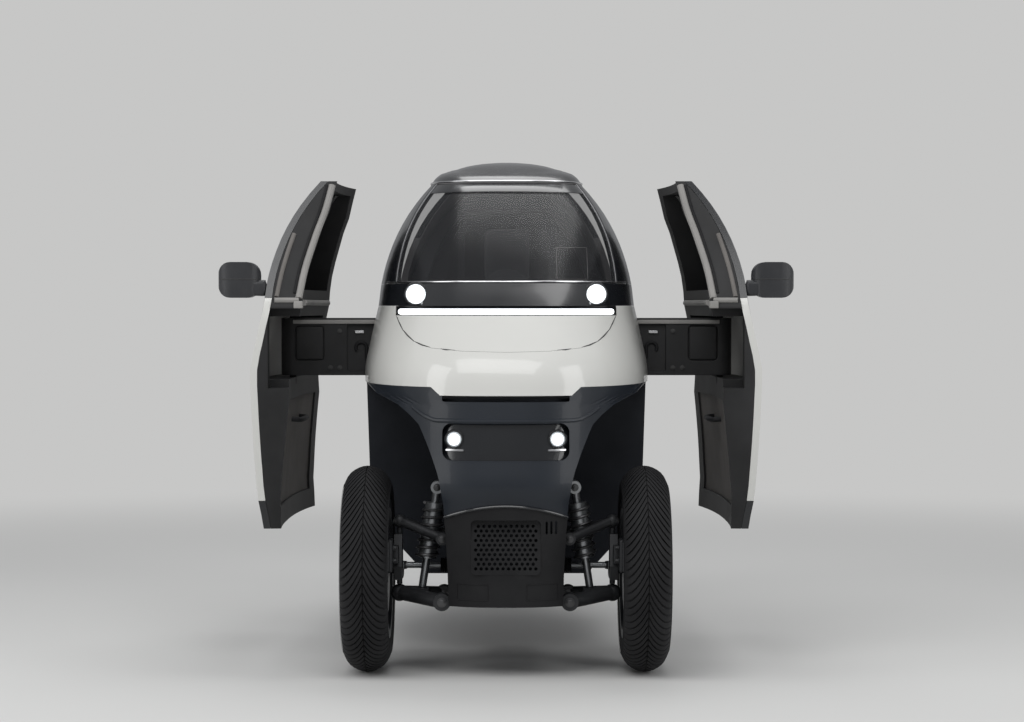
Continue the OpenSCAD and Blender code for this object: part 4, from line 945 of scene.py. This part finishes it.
def mirror_details(side, sign):
    """Glass and rim in the back of the housing, its foot, and the line that parts its two shells."""
    body, node = side + "_door", side + "_mirror"
    low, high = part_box(node)
    z = 1.105
    middle = (low.x + high.x) / 2 + sign * 0.012
    back = high.y

    def corner(turn, wide, tall):
        """Point of an outline between an oval and a box."""
        c, s = cos(turn), sin(turn)
        return wide * abs(c) ** 0.5 * (1 if c > 0 else -1), tall * abs(s) ** 0.5 * (1 if s > 0 else -1)

    turns = spread(0, 2 * pi, 48)[:-1]
    places = []
    for deep, share in ((-0.001, 1), (0.0016, 1), (0.0025, 0.96)):
        for turn in turns:
            x, h = corner(turn, 0.049 * share, 0.040 * share)
            places.append((middle + x, back + deep, z + h))
    count = len(turns)
    faces = [tuple(range(count)), tuple(reversed(range(2 * count, 3 * count)))]
    for ring in (0, count):
        for i in range(count):
            j = (i + 1) % count
            faces.append((ring + j, ring + i, ring + count + i, ring + count + j))
    glass = from_points(places, (), faces)
    settle(glass, side + "_mirror_glass", body, "steel", reflector)
    outline = [corner(turn, 0.0505, 0.0415) for turn in turns]
    rim = [(middle + x, back, z + h) for x, h in outline]
    settle(bead(rim, 0.002, closed=True), side + "_mirror_rim", body, "black_plastic")
    root = min(abs(low.x), abs(high.x))
    ends = []
    for out, wide, below, above in ((root - 0.002, 0.022, 1.058, 1.103), (root + 0.05, 0.026, 1.06, 1.101)):
        for y, h in ((-wide, below), (wide, below), (wide, above), (-wide, above)):
            ends.append((sign * out, y + (low.y + high.y) / 2, h))
    sides = ((0, 1, 2, 3), (7, 6, 5, 4), (0, 4, 5, 1), (1, 5, 6, 2), (2, 6, 7, 3), (3, 7, 4, 0))
    foot = from_points(ends, (), sides)
    faced_out(foot)
    apply(foot, "BEVEL", width=0.009, segments=3, limit_method="ANGLE")
    settle(foot, side + "_mirror_foot", body, "mirror_grey")
    line = []
    for x in spread(low.x + 0.004, high.x - 0.004, 24):
        hit = surface(node).ray_cast(Vector((x, -3, z + 0.002)), Vector((0, 1, 0)))
        if hit[0] is not None:
            line.append(hit[0] - Vector((0, 0.0002, 0)))
    settle(bead(line, 0.0012), side + "_mirror_line", body, "black_plastic", seam_rubber)


for side, sign in SIDES:
    door_trims(side, sign)
    arm_details(side, sign)
    mirror_details(side, sign)

# Cabin: linings, glass edges, dial, pedals and mat

roof_cloth = moulded("roof_cloth", (0.17, 0.165, 0.168), (0.20, 0.195, 0.198), 0.9, 900, 0.00002)
rear_cloth = moulded("rear_cloth", (0.09, 0.088, 0.09), (0.11, 0.107, 0.109), 0.9, 900, 0.00002)


def lining(node, name, cloth):
    """Cloth inside a shell: its faces that look into the cabin, lifted off it and given a thickness."""
    piece = copied(node, name)
    bpy.ops.object.mode_set(mode="EDIT")
    bpy.ops.mesh.select_all(action="DESELECT")
    bpy.ops.object.mode_set(mode="OBJECT")
    for face in piece.data.polygons:
        inwards = (Vector((0, 0.3, 0.8)) - face.center).normalized()
        face.select = face.normal.dot(inwards) < 0.4
    bpy.ops.object.mode_set(mode="EDIT")
    bpy.ops.mesh.delete(type="FACE")
    bpy.ops.mesh.select_all(action="SELECT")
    bpy.ops.transform.shrink_fatten(value=0.003)
    bpy.ops.object.mode_set(mode="OBJECT")
    apply(piece, "SOLIDIFY", thickness=0.002, offset=-1)
    settle(piece, name, "chassis", "card_grey", cloth)


def glass_edges():
    """Dark header and bright uprights round the windscreen, and a clear pocket for a pass."""
    header = part_of("windscreen", (0, 0, 1.372), (0, 0, -1))
    bpy.ops.object.mode_set(mode="EDIT")
    bpy.ops.mesh.select_all(action="SELECT")
    bpy.ops.transform.shrink_fatten(value=0.0007)
    bpy.ops.object.mode_set(mode="OBJECT")
    settle(header, "screen_header", "chassis", "gloss_black")
    uprights = []
    for _, sign in SIDES:
        row = side_edge("windscreen", sign)
        uprights.append(bead([p + Vector((sign * 0.0005, -0.0025, 0)) for p in row], 0.0024))
    settle(joined(uprights), "screen_uprights", "chassis", "steel", bright_trim)
    corners = spaced([(0.148, 1.112), (0.24, 1.112), (0.24, 1.206), (0.148, 1.206)], 0.012)
    loop = [on_front(("windscreen",), x, z, -0.007) for x, z in corners]
    settle(bead(loop, 0.0007, closed=True, corners=1), "pass_pocket", "chassis", "lamp_lens", trim_grey)


def turned_about(piece, centre, axis, degrees):
    """Turns a mesh about a place."""
    spin = Matrix.Rotation(radians(degrees), 4, axis)
    piece.data.transform(Matrix.Translation(centre) @ spin @ Matrix.Translation(-Vector(centre)))
    return piece


def cabin_fittings():
    dial = surface("dashboard").ray_cast(Vector((0, 1, 1.062)), Vector((0, -1, 0)))[0]
    bezel = [(0, 0.0), (0, 0.066), (0.004, 0.066), (0.006, 0.06), (0.0035, 0.057), (0.0025, 0.0)]
    settle(turned(bezel, dial - Vector((0, 0.0005, 0)), (0, 1, 0)), "dial_bezel", "chassis", "gloss_black")
    ticks = []
    for k in range(11):
        turn = radians(-120 + 24 * k)
        a = dial + Vector((0.046 * sin(turn), 0.0026, 0.046 * cos(turn)))
        b = dial + Vector((0.052 * sin(turn), 0.0026, 0.052 * cos(turn)))
        ticks.append(bead([a, b], 0.0007, corners=1))
    settle(joined(ticks), "dial_ticks", "chassis", "light_strip", lamp_glow)
    vents = []
    for sign in (1, -1):
        for k in range(5):
            z = 0.955 + 0.012 * k
            row = [surface("dashboard").ray_cast(Vector((sign * x, 1, z)), Vector((0, -1, 0)))[0]
                   for x in spread(0.16, 0.24, 6)]
            vents.append(bead([p + Vector((0, 0.001, 0)) for p in row], 0.003))
    settle(joined(vents), "dash_vents", "chassis", "black_plastic")
    floor = surface("tub").ray_cast(Vector((0, -0.2, 0.6)), Vector((0, 0, -1)))[0].z
    mat = block((-0.19, -0.41, floor), (0.19, -0.11, floor + 0.005), 0.002)
    ribs = []
    for y in spread(-0.39, -0.14, 13):
        ribs.append(block((-0.17, y, floor + 0.004), (0.17, y + 0.006, floor + 0.0075), 0.001, 1))
    settle(joined([mat, *ribs]), "floor_mat", "chassis", "tyre_rubber")
    pedals = []
    for x, wide in ((-0.07, 0.085), (0.07, 0.05)):
        pad_low = Vector((x - wide / 2, -0.398, floor + 0.06))
        pad_high = Vector((x + wide / 2, -0.386, floor + 0.15))
        middle = (pad_low + pad_high) / 2
        pieces = [block(pad_low, pad_high, 0.003)]
        for z in spread(pad_low.z + 0.012, pad_high.z - 0.012, 4):
            low, high = (pad_low.x + 0.006, -0.387, z - 0.003), (pad_high.x - 0.006, -0.383, z + 0.003)
            pieces.append(block(low, high, 0.001, 1))
        pieces.append(bead([Vector((x, -0.396, floor + 0.1)), Vector((x, -0.44, floor + 0.13)),
                            Vector((x, -0.456, floor + 0.2))], 0.007))
        pedals.append(turned_about(joined(pieces), middle, "X", -12))
    settle(joined(pedals), "pedals", "chassis", "cast_metal")


lining("roof", "headliner", roof_cloth)
lining("rear_canopy", "rear_lining", rear_cloth)
glass_edges()
cabin_fittings()

# Tail: blank plate, hatch and lamp trims


def on_back(x, z, lift=0.0):
    """Place on the tail met from straight behind."""
    hits = [surface(n).ray_cast(Vector((x, 3, z)), Vector((0, -1, 0))) for n in ("rear_body", "rear_canopy")]
    hits = [h for h in hits if h[0] is not None]
    best = max(hits, key=lambda h: h[0].y)
    return best[0] + best[1] * lift


def tail_details():
    foot, top = on_back(0, 0.632).y, on_back(0, 0.752).y

    def sloped(piece):
        """Leans a flat piece to the slope of the tail behind the plate."""
        for v in piece.data.vertices:
            v.co.y += foot + (top - foot) * (v.co.z - 0.632) / 0.12
        return piece

    plates = (
        ("blank_plate", (-0.12, 0.003, 0.632), (0.12, 0.0065, 0.752), 0.0015, "white_paint"),
        ("plate_holder", (-0.126, -0.03, 0.626), (0.126, 0.0035, 0.758), 0.004, "black_plastic"),
        ("plate_lamp", (-0.03, -0.012, 0.762), (0.03, 0.01, 0.776), 0.004, "black_plastic"),
    )
    for name, low, high, edge, slot in plates:
        settle(sloped(block(low, high, edge)), name, "chassis", slot)
    seam = [(-0.24, 1.0), (-0.245, 0.9), (-0.235, 0.83), (-0.2, 0.8), (-0.1, 0.792), (0, 0.79)]
    row = seam + [(-x, z) for x, z in reversed(seam[:-1])]
    line = []
    for (x0, z0), (x1, z1) in zip(row, row[1:]):
        for t in (0, 0.25, 0.5, 0.75):
            line.append(on_back(x0 + (x1 - x0) * t, z0 + (z1 - z0) * t, 0.0002))
    line.append(on_back(*row[-1], 0.0002))
    settle(bead(line, 0.0016), "hatch_seam", "chassis", "black_plastic", seam_rubber)
    grip = [on_back(x, 0.82, -0.0045) for x in spread(-0.06, 0.06, 8)]
    settle(bead(grip, 0.006), "hatch_grip", "chassis", "gloss_black")


def tail_lamp_trims():
    """Dark bezel round each tail lamp, and ribs across its lens."""
    low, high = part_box("tail_lamps")
    for side, sign in SIDES:
        rows = []
        for z in spread(low.z + 0.002, high.z - 0.002, 14):
            row = found(on_side("tail_lamps", y, z, sign, False) for y in spread(low.y, high.y, 60))
            if len(row) > 3:
                rows.append(row)
        outline = rows[0] + [r[-1] for r in rows[1:-1]] + rows[-1][::-1] + [r[0] for r in rows[-2:0:-1]]
        settle(bead(outline, 0.0035, closed=True), side + "_tail_bezel", "chassis", "gloss_black")
        ribs = [bead(row, 0.0016) for row in rows[2:-2:2]]
        settle(joined(ribs), side + "_tail_ribs", "chassis", "red_lens")


tail_details()
tail_lamp_trims()

bpy.context.scene.view_settings.view_transform = "Standard"
